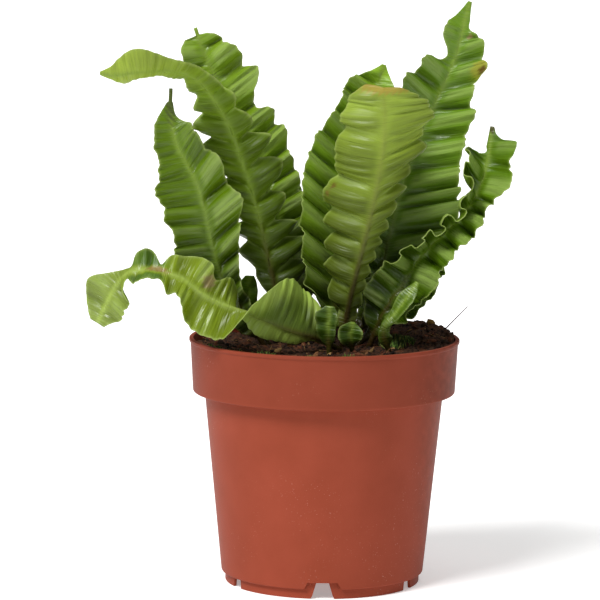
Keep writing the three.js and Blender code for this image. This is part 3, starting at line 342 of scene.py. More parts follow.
# Colours that a frond has where its tints name no other.
GREEN = dict(
    upper="#5f8210", under="#678612", rib="#86a03a", rib_foot="#4d4316", margin="#a5b862",
    painted_highlight="#a9c06a", foot="#3d2c10",
)
TOWARDS = (0, -1, 0)
AWAY = (0, 1, 0)
FORWARD = [TOWARDS, TOWARDS]
REAR_HALF = {17: 8, 33: 12, 50: 14, 67: 13, 83: 9, 100: 0.9}
LOW_HALF = {20: 6, 40: 10, 60: 11, 80: 9, 100: 0.9}

# The rib's points and the way that the upper side faces, from foot to tip, and the half widths left
# and right at percents of the blade. Notches are the percents at which the margin goes in. A spot has
# a percent of the blade, mm right of the rib, half sizes up the frond and across, and a colour.
FRONDS = {}
FRONDS["frond_left_tall"] = dict(
    rib=[(-16, -3, 109), (-19, -5, 121), (-24, -7, 140), (-30, -9, 165), (-36, -11, 185), (-42, -15, 202),
         (-49.5, -24, 216.5), (-57.5, -34, 226), (-67.5, -42, 229), (-79, -47, 229), (-90, -47, 227.5),
         (-97, -46, 228)],
    face=[AWAY, (-0.3, 1, 0), (-0.3, 1, 0.2), (0, 0.8, 0.6), (0, 0.8, 0.6)],
    left={4: 7, 8: 11, 12.5: 14.5, 17: 16.5, 21: 16, 25: 13, 30: 9, 33: 12, 38: 12.5, 42: 13.8, 44.5: 11.5,
          48: 11.5, 50.5: 10.5, 53: 9, 57: 8.2, 61: 7, 64.5: 8, 68: 6.5, 72: 6, 76: 6, 82: 6.5, 87: 9,
          90: 10.5, 94: 8.5, 97: 4.5, 100: 0.9},
    right={4: 2.5, 10: 3.8, 14: 6, 18: 9.5, 22: 10, 25: 11, 29: 9, 33: 9, 39: 11, 43: 11, 46: 12.2, 50: 12.3,
           56: 11.8, 60: 10, 65: 7.8, 72: 6, 78: 5, 82: 4.5, 87: 4, 92: 5, 94.5: 7.5, 96: 4.5, 100: 0.9},
    notches=([10, 16, 22, 28, 35, 43.5, 51, 59, 66, 74, 83, 94],
             [10, 16.5, 22.5, 28.5, 34, 39.5, 44.7, 50.5, 58.5, 66, 75, 84, 94]),
    rise=([25, 5, -5, -5, 5, 10], [25, 20, 15, 15, 10, 10]),
    depth=([2.5, 3.6, 3.6, 3.6, 3.4, 2.6, 1, 0.4], [2.5, 3.2, 3, 2.7, 2.7, 2.4, 1, 0.4]), reach=3, round=-1,
    slant=([0.2, 0.3, 0.3, 0.2, 0], [0.7, 0.7, 0.6, 0.4, 0.1]), lean=(0.2, 0.3),
    scallop=([0.15, 0.2, 0.25, 0.28, 0.2, 0.03], [0.15, 0.17, 0.15, 0.15, 0.03]),
    tints=dict(under="#6d8a18", tip="#9eb43f"),
)
FRONDS["frond_left_rear"] = dict(
    rib=[(-11, 11, 109), (-14, 13, 125), (-18, 15, 151), (-27, 15, 178), (-37, 14, 196), (-43, 13, 209),
         (-50, 12, 224), (-55, 12, 235), (-58.5, 12, 245)],
    face=FORWARD,
    left={10: 9, 30: 12, 60: 12, 85: 11, 93: 10, 97: 9, 100: 6},
    right={10: 10, 25: 13, 35: 13.5, 42: 14.8, 48.4: 15.8, 52: 16, 54.5: 18.3, 60: 18.4, 63.2: 18.6,
           66.5: 17.2, 70: 12.3, 73.5: 13.2, 76.5: 17, 81: 18.6, 83.4: 15, 86.5: 16.5, 90.5: 14, 93: 11,
           97: 9.5, 100: 4.5},
    notches=(None, [10, 18, 26, 33.5, 40, 46, 51.9, 59.7, 70, 82.4, 93]),
    rise=([35, 30, 22, 16, 10], [25, 15, 10, 10, 10]), tail=4, pleat=11.5,
    scallop=(0.15, [0.15, 0.15, 0.2, 0.2, 0.1]),
    tints=dict(upper="#7c9d20"),
)
FRONDS["frond_left_broad"] = dict(
    rib=[(-28, -4, 108), (-35, -7, 119), (-44, -12, 133), (-50, -16, 153), (-54, -19, 171),
         (-58.5, -20, 183), (-65, -20, 195), (-68, -19, 207), (-68, -17, 220)],
    face=[(0.3, -1, 0), (0.35, -1, 0), (0.3, -1, 0)],
    left={5: 6, 10: 10, 15: 14, 20: 16.5, 27: 18, 40: 19.5, 50: 18.6, 53: 21, 56.5: 19.5, 62: 19.9, 68: 19,
          73: 15.3, 77.7: 11.2, 83.3: 11, 87: 9, 90: 8.2, 96: 4, 100: 1.5},
    right={6: 5, 12: 6, 20: 7.5, 28: 10, 36: 13, 42: 15.5, 45: 17, 49: 16, 55: 14, 60: 14, 64: 13.5, 69: 12,
           71.5: 12, 75.7: 11.7, 82: 9, 86: 8.5, 90: 6, 95: 2.5, 100: 1.2},
    notches=([5, 13, 20, 28, 35, 42, 49.6, 56.5, 68, 77.3, 95], [6, 14, 22, 31, 41, 56.5, 69.5, 90]),
    rise=([20, 10, 5, 5, 5], [30, 25, 20, 15, 10]), tail=6,
    depth=([2, 1.8, 1.5, 0.9, 0.4, 0.2], [2.5, 3.5, 3.5, 3.5, 1.5, 0.5]), slant=(0.25, 0.6),
    scallop=(0.08, [0.1, 0.2, 0.25, 0.2, 0]),
    tints=dict(upper="#628011"),
    spots=[((100, 0), (15, 3), "#434c22")],
)
FRONDS["frond_front_pale"] = dict(
    rib=[(8, -10, 108), (10.4, -14, 125), (14, -20, 142), (19.5, -25, 166.5), (23, -28, 186),
         (24.8, -30, 205), (24, -29, 222)],
    face=[AWAY, AWAY, AWAY],
    left={5: 3.5, 10: 5.5, 20: 6, 27: 6, 37: 7.6, 41: 8.2, 45.1: 9.2, 48.1: 8.8, 51: 11.5, 57.1: 11.8,
          60.4: 12, 63.4: 14.5, 66: 17, 71.4: 19.1, 77.6: 20.3, 83: 21.5, 88: 21.5, 92: 20, 96: 16.5,
          98.5: 12, 100: 8},
    right={8: 4, 13.8: 8.4, 19: 13.7, 31: 16.5, 39.5: 18.5, 44: 20.5, 48: 22.2, 54: 23, 59: 24, 63: 21.5,
           70: 20.3, 76.5: 21.5, 83: 19.5, 89: 19, 94: 16.5, 98: 12, 100: 8},
    notches=([10, 16.5, 23, 29, 34.5, 39.5, 45.5, 51.5, 58, 64.5, 73.5, 98],
             [10, 20, 30, 39.5, 48, 61, 81, 92]),
    depth=([1.8, 1.9, 1.8, 1.7, 1.2, 0.5], [2, 2.4, 2.3, 1.6, 0.8]), round=-1,
    slant=([0.85, 0.85, 0.85, 0.7, 0.4, -0.05], [0, 0, 0, 0.2]), lean=(0, -1.5),
    scallop=([0.1, 0.15, 0.15, 0.1, 0.04], 0.06), shaded=0.9, brown=0.9,
    tints=dict(under="#82982b", tip="#94aa3f", rib="#8c9c3c", rib_foot="#33200a"),
    spots=[((100, 0), (3, 15), "#a8933e"), ((58, 20.5), (0.9, 1.2), "#6a5420"),
           ((55.5, 21.2), (1.1, 0.9), "#75602a"), ((63.1, 17.1), (0.8, 0.9), "#33280f")],
    slot="pale_frond",
)
FRONDS["frond_middle"] = dict(
    rib=[(2, 2, 110), (5, 2, 125), (8, 2, 148), (12, 2, 170), (16, 3, 192), (20, 4, 210), (25, 5, 230)],
    face=FORWARD,
    left={6: 18, 12.5: 22, 25: 25.5, 37.5: 28.5, 50: 28, 62.5: 23, 75: 17, 86: 15, 93: 9, 97: 4, 100: 0.9},
    right={6: 12, 12.5: 16, 25: 16, 37.5: 16, 50: 18, 62.5: 18, 75: 15, 87.5: 10, 100: 0.9},
    pleat=11, slant=[0.5, 0.5, 0.5, 0.5, 0.25], scallop=0.1,
    tints=dict(upper="#8eb62a"),
)
FRONDS["frond_right_tall"] = dict(
    rib=[(19, 6, 109), (22, 9, 125), (28, 13, 151), (35, 17, 178), (43, 20, 200), (48.8, 20, 213),
         (54.4, 20, 225.6), (57.4, 20, 233.2), (59.5, 20, 242.6), (63.3, 20, 257.5)],
    face=FORWARD,
    left={10: 11, 25: 14, 45: 16, 60: 18, 67.1: 19.5, 70: 19.3, 73.3: 15.4, 76.5: 15.2, 78.9: 12.4,
          80.7: 6.7, 83: 4, 85: 5, 88: 8.6, 90.4: 8.4, 93.5: 6.1, 96.1: 3.6, 100: 0.9},
    right={10: 12, 20: 22, 27: 28.5, 32: 29.5, 37.4: 27.7, 42.2: 25.7, 46: 24.2, 50: 22.8, 54.4: 21.2,
           59: 20.8, 62: 20.5, 67.5: 15.8, 70: 14, 74.6: 14.1, 76.5: 15.3, 79: 13.5, 83.2: 11.5, 85.2: 10.8,
           88.5: 8.5, 90.5: 6.5, 91.5: 4, 95: 2.2, 100: 0.9},
    notches=([10, 18, 26, 34, 42, 50, 58, 65.5, 72.6, 81.5, 95],
             [5, 13, 21, 29, 36.9, 41, 48.9, 57.7, 66.8, 73.8, 82, 89, 95]),
    rise=([35, 30, 22, 16, 10], [25, 12, 18, 16, 10]), depth=[2.8, 2.8, 3, 3, 3, 2.2, 0.6],
    slant=(0.27, [0.4, 0.4, 0.4, 0.4, 0.5, 0.7, 0.6, 0.2]),
    scallop=[0.08, 0.08, 0.08, 0.1, 0.15, 0.15, 0.02],
    tints=dict(upper="#6d9220"),
    spots=[((77.6, 13.5), (4.5, 4), "#aeac3c"), ((76.5, 14.5), (1.5, 1.6), "#5e3a14"),
           ((89.3, 4), (1.5, 1.2), "#a08a58")],
)
FRONDS["frond_right_ruffled"] = dict(
    rib=[(21, -6, 109), (24.5, -9, 118), (30.3, -12, 128.7), (34.6, -13, 134.9), (41.4, -14, 146.5),
         (50.5, -15, 156.3), (60.4, -16, 166.5), (67.2, -16, 178.9), (70.5, -16, 190.7), (72, -16, 204.7)],
    face=[(-0.3, -0.8, 0.4), (-0.4, -0.8, 0.6), (-0.5, -1, 0.2)],
    left={10: 11, 25: 14, 40: 14, 50: 14, 65: 14, 73: 14.5, 77: 13, 80: 12, 83: 11.5, 85: 10.5, 86.5: 8.5,
          87.8: 5, 89: 2.2, 92: 1.8, 100: 0.9},
    right={12: 14, 19: 17, 24.3: 16.5, 30: 20.5, 35: 19.5, 40.7: 15, 45: 18.5, 50.7: 13, 55.5: 16.5, 60: 13,
           63: 15.5, 66.8: 9.5, 69: 12, 71.5: 11, 76: 15.2, 81: 16, 86: 12.5, 90: 13, 93: 13, 96: 4,
           100: 0.9},
    notches=(None, [6, 14, 24.3, 40.7, 50.7, 59.1, 66.4, 71.4, 85.7, 95.5]),
    rise=([20, 20, 48, 85, 100, 102, 70, 20, 20], [20, 10, 5, 5, 10]),
    curl=([18, 18, 18, 24, 26, 26, 20, 18, 18], 18), pleat=10.5,
    depth=([2, 2.5, 2.5, 2.3, 2.5, 2.5, 2, 1], [2.5, 3, 3, 3, 3, 2, 1]), sharp=([1, 1, 0, 0, 0, 0, 1], 1),
    meander=([0, 0, 1, 1.4, 1.4, 0.8, 0], 0), slant=([0.15, 0.15, 0.15, 0.15, 0.4, 0.6, 0.3], 0.15),
    lean=(0, 0.8), scallop=(0.1, 0.15),
    tints=dict(upper="#587a0e"),
    spots=[((100, 0), (3, 3), "#4a4220")],
)
FRONDS["frond_front_low"] = dict(
    rib=[(3, -18, 108), (-3, -24, 112), (-12, -30, 115), (-22, -33, 119), (-33, -34.5, 124), (-45, -35, 128),
         (-53, -36, 132.5), (-62.5, -38, 139.5), (-72.5, -38, 142.5), (-79, -36, 142.5), (-85, -33, 141),
         (-90, -29, 136), (-94.5, -27, 128), (-99, -26, 118)],
    face=[(-0.3, 0.5, 0.9), (-0.2, 0.4, 0.9), (0.1, -0.2, 1), (0.3, -0.8, 0.6), (0.2, -0.8, 0.6),
          (0, -0.6, 0.8), (-0.4, -0.8, 0.5), (-0.5, -0.9, 0.2)],
    left={3: 5, 6: 9.5, 9: 16.5, 12: 23, 15: 26.5, 18: 26, 22: 23.5, 25: 20.5, 27.5: 16.5, 30: 13, 32: 13,
          34: 14, 37: 16, 42: 16.5, 47: 16.5, 52: 13, 56: 9, 59: 8, 62: 10, 65: 5, 68: 7, 72: 8.5, 76: 6,
          78.5: 3, 81: 5, 85: 11, 90: 13.5, 95: 11, 98: 6, 100: 4},
    right={5: 3, 10: 4.5, 20: 7, 28: 9, 32: 9.5, 36: 11, 40: 13.5, 44: 12, 48: 8.5, 52: 13, 56: 13, 60: 10,
           64: 8, 66.5: 3.5, 69: 8, 72: 10.5, 74.5: 8, 76.5: 3.5, 80: 3.5, 84: 6.5, 88: 13, 92: 12, 96: 8,
           100: 4},
    rise=([50, 85, 88, 85, 72, -8, -25, -20, -10, -5, 0, 0, 0, 0, 0], [10, -45, -75, 5, 10, 20, 5, 5]),
    curl=([18, 30, 35, 35, 25] + 10 * [18], 18), pleat=15,
    depth=([1, 0.6, 0.5, 1, 1.2, 1.5, 2.2, 2.2, 1.5, 1], [1, 1.2, 1.2, 1.2, 1.2, 1.5, 2.2, 2.2, 1.5, 1]),
    slant=([0, -0.1, -0.15, 0, 0.15, 0.1] + 9 * [0], 0.05), lean=0, scallop=0.03,
    tints=dict(upper="#7e931a", under="#7f9c34", rib="#a5bb55", tip="#849740", lobes="#466a12",
               brim="#a9c456"),
    spots=[((50, 6), (3.2, 3.6), "#8d7a50"), ((67.4, 0.5), (5, 1.6), "#8f7440")],
    slot="pale_frond",
)
FRONDS["frond_small_left"] = dict(
    rib=[(-26, 4, 107), (-31, 4, 116), (-34, 3, 125), (-33.5, 2, 136)],
    face=[(0.4, -1, 0.3), (0.3, -1, 0)],
    left={25: 4, 60: 5, 85: 5, 100: 2}, right={25: 3, 60: 4, 85: 4, 100: 2},
    pleat=9,
)
FRONDS["frond_small_right"] = dict(
    rib=[(28, -23, 107), (25.8, -26, 113), (26.2, -27, 118), (31, -28, 124), (34.5, -28.5, 129),
         (40, -28, 137.5)],
    face=[(0, -1, 0.3), (-0.3, -0.7, 0.6), (-0.5, -0.9, 0.2)],
    left={10: 2.5, 30: 2, 50: 3.2, 75: 3.8, 90: 2.5, 100: 1},
    right={8: 3.5, 25: 2, 50: 3.5, 75: 4, 90: 2.5, 100: 1},
    pleat=14, depth=1.5,
    tints=dict(upper="#4c680c", painted_highlight="#7f9c46"),
)
FRONDS["frond_small_middle"] = dict(
    rib=[(2, -26, 107), (1.5, -28.5, 116), (2, -31, 127)],
    face=[(-0.2, -1, 0.3), (-0.2, -1, 0.1)],
    left={20: 4, 50: 5.5, 80: 5.5, 100: 2}, right={20: 3, 50: 3.5, 80: 4, 100: 2},
    pleat=7, depth=1.2,
    tints=dict(upper="#3c580c", painted_highlight="#6d8a3a"),
)
FRONDS["frond_small_front"] = dict(
    rib=[(12, -24, 107), (11, -28, 113), (12, -30, 120)],
    face=[(0, -1, 0.3), (0, -1, 0.2)],
    left={25: 4, 50: 6, 75: 5, 100: 1}, right={25: 4, 50: 6, 75: 5, 100: 1},
    pleat=6, depth=1.5,
    tints=dict(upper="#3c580c", painted_highlight="#6d8a3a"),
)
FRONDS["frond_rear_left"] = dict(
    rib=[(-11, 21, 108), (-14, 31, 130), (-19, 40, 155), (-25, 46, 178), (-30, 48, 192)],
    face=[TOWARDS, TOWARDS, (0, -0.9, 0.4)],
    left=REAR_HALF, right=REAR_HALF,
)
FRONDS["frond_rear_middle"] = dict(
    rib=[(1, 18, 108), (4, 31, 132), (7, 43, 158), (11, 51, 182), (15, 54, 200)],
    face=[TOWARDS, TOWARDS, (0, -0.9, 0.4)],
    left=REAR_HALF, right=REAR_HALF,
)
FRONDS["frond_rear_right"] = dict(
    rib=[(15, 18, 108), (25, 29, 132), (34, 38, 158), (41, 43, 180), (46, 45, 198)],
    face=[(-0.3, -1, 0), (-0.3, -1, 0), (-0.3, -0.9, 0.4)],
    left={17: 7, 33: 10, 50: 12, 67: 12, 83: 9, 100: 0.9},
    right={17: 7, 33: 12, 50: 14, 67: 13, 83: 9, 100: 0.9},
)
FRONDS["frond_rear_low"] = dict(
    rib=[(17, -1, 108), (27, -2, 117), (38, -3, 128), (45, -3, 142), (48, -4, 154)],
    face=[(-0.5, -0.9, 0.3), (-0.3, -1, 0.2), (-0.3, -0.9, 0.1)],
    left=LOW_HALF, right=LOW_HALF,
    pleat=11,
)

FOOT_SHADE = 0.35  # brightness at the foot of a frond
CREST_PAINTED_LIGHT, VALLEY_PAINTED_SHADE = 0.15, 0.45  # how much painted light lightens crests and painted shade darkens valleys
COVER = {"painted_highlight": 0.42, "rib": 0.75, "rib_foot": 0.85, "margin": 0.6}  # how much of the green each hides
SPOT_COVER = 0.85
RIB_SPREAD, MARGIN_SPREAD = 1.3, 0.8  # mm over which the colours of rib and margin fade

ROW_STEP = 0.7  # between rows of points up a frond
COLUMN_COUNT = 22  # points from rib to margin
CROWDING = 0.06  # how far the columns are drawn to rib and margin
BLADE, MARGIN, STALK_EDGE = 0.55, 0.3, 0.15  # thickness in the middle of a half blade and at the edges
RIB, RIB_TAPER, RIDGE_WIDTH = 2.3, 1.5, 1.1  # the rib's thickness at its foot, its loss, and its width
STALK_TAPER = 0.4  # share of its width that a stalk would lose up to the tip
VALLEY_ROUND, MIDDLE = 0.02, 1.1  # how round valleys are, and the height between them and crests
UNEVEN, UNEVEN_TURN = 0.25, 0.23  # share by which the pleats' depth varies, and how fast
WANDER, WANDER_TURN = 0.6, 0.11  # the same for where they are, in radians
CRINKLE, CRINKLE_LENGTHS = 0.3, (4.3, 3.1)  # depth and spacing of the small folds
FULL_CREST = 2  # depth of the pleats from which crests and valleys get their full painted light and shade


class Frond:
    """One frond's surface: d is the distance up the rib, t runs from 0 at the rib to 1 at the margin."""

    def __init__(self, spec):
        self.spec = {**SHAPE, **spec}
        rib = [np.array(p, float) for p in spec["rib"]]
        foot = rib[0] - STALK_DEPTH * unit(rib[1] - rib[0])
        self.curve = centripetal([foot, *rib], CURVE_STEPS)
        steps = np.linalg.norm(np.diff(self.curve, axis=0), axis=1)
        self.distances = np.concatenate([[0], np.cumsum(steps)])
        self.length = self.distances[-1]
        self.blade_length = self.length - BLADE_START
        colours = {**GREEN, **spec.get("tints", {})}
        self.colours = {name: linear(colour) for name, colour in colours.items()}

    def rib_at(self, d):
        return np.stack([np.interp(d, self.distances, places) for places in self.curve.T], -1)

    def along_rib(self, d):
        """The rib's direction."""
        ahead, behind = (self.rib_at(np.clip(d + step, 0, self.length)) for step in (0.4, -0.4))
        return unit(ahead - behind)

    def share_of_blade(self, d):
        return (d - BLADE_START) / self.blade_length

    def half_width(self, d, side):
        least = STALK_HALF * (1 - STALK_TAPER * d / self.length)
        table = {0: STALK_HALF, **self.spec["right" if side > 0 else "left"]}
        width = through(table, (d - BLADE_START) / (self.blade_length - self.spec["tail"]))
        inside = (d >= BLADE_START) & (d <= self.length - self.spec["tail"])
        return np.where(inside, np.maximum(least, width), least)

    def openness(self, d):
        """0 on the bare stalk, 1 where both half blades are wide."""
        narrow = np.minimum(self.half_width(d, -1), self.half_width(d, 1))
        return smooth(STALK_HALF, STALK_HALF + OPEN_WIDTH, narrow)

    def surface(self, d, side, t):
        """The middle surface's points, their mm from rib and margin, and 1 on crests to -1 in valleys."""
        x = self.share_of_blade(d)
        at = {name: setting(value, side, x) for name, value in self.spec.items() if name in SHAPE}
        tangent = self.along_rib(d)
        face = along(self.spec["face"], x)
        normal = unit(face - tangent * (face * tangent).sum(-1, keepdims=True))
        across = np.cross(tangent, normal)
        half = self.half_width(d, side)
        share = np.clip((half - STALK_HALF) / FULL_PLEAT_WIDTH, 0, 1)
        turn = self.pleat_turn(d, side, at)
        ridge = 2 * np.sqrt(np.sin(turn / 2) ** 2 + VALLEY_ROUND) - MIDDLE
        swell = at["sharp"] * ridge + (1 - at["sharp"]) * np.sin(turn)
        deep = share * (1 - (1 - t) ** at["reach"])
        wave = deep * swell * (1 + UNEVEN * np.sin(UNEVEN_TURN * d + 2 * side))
        curl = np.radians(share * at["curl"])
        width = half * t * (1 + share * at["scallop"] * swell) * np.sinc(curl * t / np.pi)
        rise = np.radians(at["rise"]) * self.openness(d) + curl * (t - 0.5)
        tilt = rise + curl * t
        lift = at["round"] * at["depth"] * wave + share * self.crinkle(d, side, t)
        forward = share * width * at["slant"] + at["lean"] * wave
        forward = forward - at["meander"] * deep * np.sin(2 * turn)
        sideways = side * (width * np.cos(rise) - lift * np.sin(tilt))
        upwards = width * np.sin(rise) + lift * np.cos(tilt)
        shifts = zip((across, normal, tangent), (sideways, upwards, forward))
        made = self.rib_at(d) + sum(direction * amount[..., None] for direction, amount in shifts)
        crest = swell * share * np.clip(at["depth"] / FULL_CREST, 0, 1)
        return made, side * width, half * (1 - t), crest

    def both_halves(self, d, signed):
        """What surface gives, for places from -1 at the left margin to 1 at the right."""
        left, right = (self.surface(d, side, np.abs(signed)) for side in (-1, 1))
        to_right = signed > 0
        wider = to_right[..., None]
        return [np.where(wider if a.ndim == 3 else to_right, b, a) for a, b in zip(left, right)]

    def pleat_turn(self, d, side, at):
        """The turn of the pleats' wave. At full turns the margin has a notch."""
        notches = self.spec.get("notches", (None, None))[side > 0]
        if notches is None:
            return TAU * (d / at["pleat"] + at["phase"]) + WANDER * np.sin(WANDER_TURN * d + side)
        counted = {percent: count for count, percent in enumerate([0, *notches, 100])}
        return TAU * through(counted, self.share_of_blade(d))

    def crinkle(self, d, side, t):
        """Small folds between the pleats, which run from rib to margin."""
        wide, narrow = (TAU * d / length for length in CRINKLE_LENGTHS)
        fine = np.sin(wide + side + 2.2 * t) + np.sin(narrow + 2 * side + 0.8 * np.sin(d / 9))
        return CRINKLE * fine * smooth(0, 0.35, t)

    def thickness(self, d, t, from_rib):
        """How thick the frond is: a round stalk that opens into a blade with a raised rib."""
        rib = RIB - RIB_TAPER * smooth(0, 0.85 * self.length, d)
        stalk = rib * np.sqrt(np.maximum(0, 1 - t**2)) + STALK_EDGE
        blade = MARGIN + (BLADE - MARGIN) * smooth(1, 0.75, t)
        ridge = np.maximum(0, rib - BLADE) * np.exp(-((from_rib / RIDGE_WIDTH) ** 2))
        opened = self.openness(d)
        return stalk * (1 - opened) + (blade + ridge) * opened

    def tint(self, d, from_rib, from_margin, crest, under):
        """Linear colour of each point of one side, with painted light and shade. Ranges of x are shares of
        the blade, others are mm.
        """
        base = np.broadcast_to(self.colours["under" if under else "upper"], (*d.shape, 3))
        x = self.share_of_blade(d)
        aside = np.abs(from_rib)

        def towards(colour, amount):
            if colour not in self.colours:
                return base
            hidden = np.clip(COVER.get(colour, 1) * amount, 0, 1)
            return base + (self.colours[colour] - base) * hidden[..., None]

        # painted shade on the curled lobes between 63 and 80 percent of the blade, away from the rib
        base = towards("lobes", smooth(0.63, 0.67, x) * smooth(0.8, 0.77, x) * smooth(1.5, 3.5, aside))
        # a lighter colour towards the tip: painted light where light shines through the curled tip of
        # frond_left_tall, the paler colour of the tip on the others
        base = towards("tip", smooth(0.65, 0.95, x))
        facing = -crest if under else crest
        # painted light on the crests and painted shade in the valleys of the pleats
        painted_crest_and_valley = 1 + smooth(0, 4, aside) * np.where(facing > 0, CREST_PAINTED_LIGHT, VALLEY_PAINTED_SHADE) * facing
        shaded = FOOT_SHADE + (1 - FOOT_SHADE) * smooth(0, self.spec["shaded"], x)
        base = base * (painted_crest_and_valley * shaded)[..., None]
        # painted highlight along the crests, away from the rib
        base = towards("painted_highlight", smooth(0.3, 0.8, facing) * smooth(2, 5, aside))
        # painted light on the under side, growing towards the margin
        if under:
            base = towards("brim", smooth(16, 2, from_margin))
        opened = self.openness(d)
        on_rib = np.exp(-((from_rib / RIB_SPREAD) ** 2))
        base = towards("rib", on_rib * smooth(0.1, 0.5, x))
        base = towards("rib_foot", on_rib * smooth(self.spec["brown"], 0.1, x))
        base = towards("margin", np.exp(-((from_margin / MARGIN_SPREAD) ** 2)) * opened)
        base = towards("foot", (1 - opened) * smooth(0.3 * self.length, 0, d))
        return self.spotted(base, d, from_rib)

    def spotted(self, base, d, from_rib):
        """The colours with the frond's dry or brown spots, which have uneven edges."""
        for (percent, across), (up, aside), colour in self.spec.get("spots", []):
            above = (self.share_of_blade(d) - percent / 100) * self.blade_length
            away = np.hypot(above / up, (from_rib - across) / aside)
            amount = SPOT_COVER * smooth(1.3, 0.6, away + 0.2 * np.sin(1.9 * d + 2.3 * from_rib))
            base = base + (linear(colour) - base) * amount[..., None]
        return base


def column_places():
    """Places from -1 to 1 across a frond, closer together at the rib and the margins."""
    t = np.linspace(0, 1, COLUMN_COUNT)
    t = t - CROWDING * np.sin(TAU * t)
    return np.concatenate([-t[::-1], t[1:]])


def sheet_faces(shape):
    """Faces of a thin sheet's upper side, of its under side and of the walls round its edge."""
    size = math.prod(shape)
    index = np.arange(size).reshape(shape)
    corners = [index[:-1, :-1], index[:-1, 1:], index[1:, 1:], index[1:, :-1]]
    quads = np.stack([c.ravel() for c in corners], -1)
    ring = np.concatenate([index[0, :-1], index[:-1, -1], index[-1, :0:-1], index[:0:-1, 0]])
    after = np.roll(ring, -1)
    walls = np.stack([after, ring, ring + size, after + size], -1)
    return quads, quads[:, ::-1] + size, walls


def make_frond(name, spec, materials):
    frond = Frond(spec)
    rows = np.linspace(0, frond.length, int(frond.length / ROW_STEP))
    d, signed = np.meshgrid(rows, column_places(), indexing="ij")
    points, from_rib, from_margin, crest = frond.both_halves(d, signed)
    normals = unit(np.cross(np.gradient(points, axis=1), np.gradient(points, axis=0)))
    outwards = normals * frond.thickness(d, np.abs(signed), from_rib)[..., None] / 2
    sides = [side.reshape(-1, 3) for side in (points + outwards, points - outwards)]
    faces = sheet_faces(d.shape)
    made = new_mesh(name + "_leaf", np.concatenate(sides) * MM + AXIS, np.concatenate(faces), materials[0])
    made.data.materials.append(materials[1])
    which = np.repeat([0, 1, 0], [len(part) for part in faces]).astype(np.int32)
    made.data.polygons.foreach_set("material_index", which)

    place = np.stack([d, from_rib, np.zeros_like(d)], -1).reshape(-1, 3) * MM
    store(made, "leaf_place", "FLOAT_VECTOR", "vector", np.concatenate([place, place]))
    tints = [frond.tint(d, from_rib, from_margin, crest, under) for under in (False, True)]
    tints = np.pad(np.reshape(tints, (-1, 3)), ((0, 0), (0, 1)), constant_values=1)
    store(made, "leaf_tint", "FLOAT_COLOR", "color", tints)
    return made


# Pot

POT_SIDES = 160
WALL = 1.2
FOOT_RADIUS = 43.3
FLOOR_Z = 7.7
BODY_EDGE_Z = 4.3
POT_PROFILE = [  # radius, height and corner radius, from the underside of the floor to its top
    (0, FLOOR_Z, 0), (42, FLOOR_Z, 0.5), (42, 0, 0.3), (FOOT_RADIUS, 0, 0.3),
    (FOOT_RADIUS, BODY_EDGE_Z, 0.3), (45, BODY_EDGE_Z, 0.7), (53, 84.9, 0.8), (58.2, 85.2, 0.7),
    (59.4, 107.2, 0.4), (60, 107.6, 0.3), (60, 109, 0.45), (58.1, 109, 0.4), (57.2, 86.7, 0.7),
    (51.8, 86.1, 0.7), (44, FLOOR_Z + WALL, 1.5), (0, FLOOR_Z + WALL, 0),
]
TALL_NOTCH = [(-5.9, -1), (-4.5, 1.2), (-2.7, 7.3), (2.7, 7.3), (4.5, 1.2), (5.9, -1)]
LOW_NOTCH = [(-3.4, -1), (-2.7, 3.9), (2.7, 3.9), (3.4, -1)]
ARCH = [(-8.6, 3.3), (-8.2, 4.3), (-6.6, 7.5), (6.6, 7.5), (8.2, 4.3), (8.6, 3.3)]
RIGHT_PAINTED_SHADE_X = np.array([38, 56])  # mm right of the pot's middle where the blotchy painted shade on the right side starts and is full
BAND_Z, BAND_PAINTED_SHADE = 0.0855, 0.84  # metres up to the band below the rim, and how dark the painted shade on it is
NOTCH_COUNT, NOTCH_REACH = 3, (38, 50)  # of each form, and the radii between which they are cut
ARCH_GAP, ARCH_RANGE = 0.05, (-5, 20)  # what the arches keep off the foot ring, and its range of heights
DRAIN_HOLES, DRAIN_RADIUS, DRAIN_CIRCLE, DRAIN_RANGE = 6, 3.5, 33, (5, 12)
HUB = 0.01  # radius at which a turned outline starts and ends
SHARP_ANGLE = math.radians(35)
CORNER_STEPS = 5


def rounded(corners):
    """Points along an outline of (x, y, radius) corners, each but the first and last rounded off."""
    places, radii = np.array(corners, float)[:, :2], [radius for _, _, radius in corners[1:]]
    points = [places[0]]
    for before, corner, after, radius in zip(places, places[1:], places[2:], radii):
        sides = before - corner, after - corner
        start, end = (corner + radius * side / np.linalg.norm(side) for side in sides)
        for t in np.linspace(0, 1, CORNER_STEPS):
            points.append((1 - t) ** 2 * start + 2 * t * (1 - t) * corner + t**2 * end)
    return np.array([*points, places[-1]])


def lathe(profile, sides):
    """Vertices round the pot's axis, in metres, and the four-cornered faces between them."""
    turns = np.arange(sides) * TAU / sides
    radius, height = profile.T
    x, y = (radius[:, None] * wave for wave in (np.cos(turns), np.sin(turns)))
    z = np.broadcast_to(height[:, None], x.shape)
    vertices = np.stack([x, y, z], -1).reshape(-1, 3) * MM + AXIS
    return vertices, ring_faces(len(profile), sides)[1]


def close(mesh, sides=0):
    """Fills the tiny openings where a lathe's outline starts and ends, and turns all faces outwards."""
    work = bmesh.new()
    work.from_mesh(mesh)
    bmesh.ops.holes_fill(work, edges=[e for e in work.edges if e.is_boundary], sides=sides)
    bmesh.ops.recalc_face_normals(work, faces=work.faces)
    work.to_mesh(mesh)
    work.free()


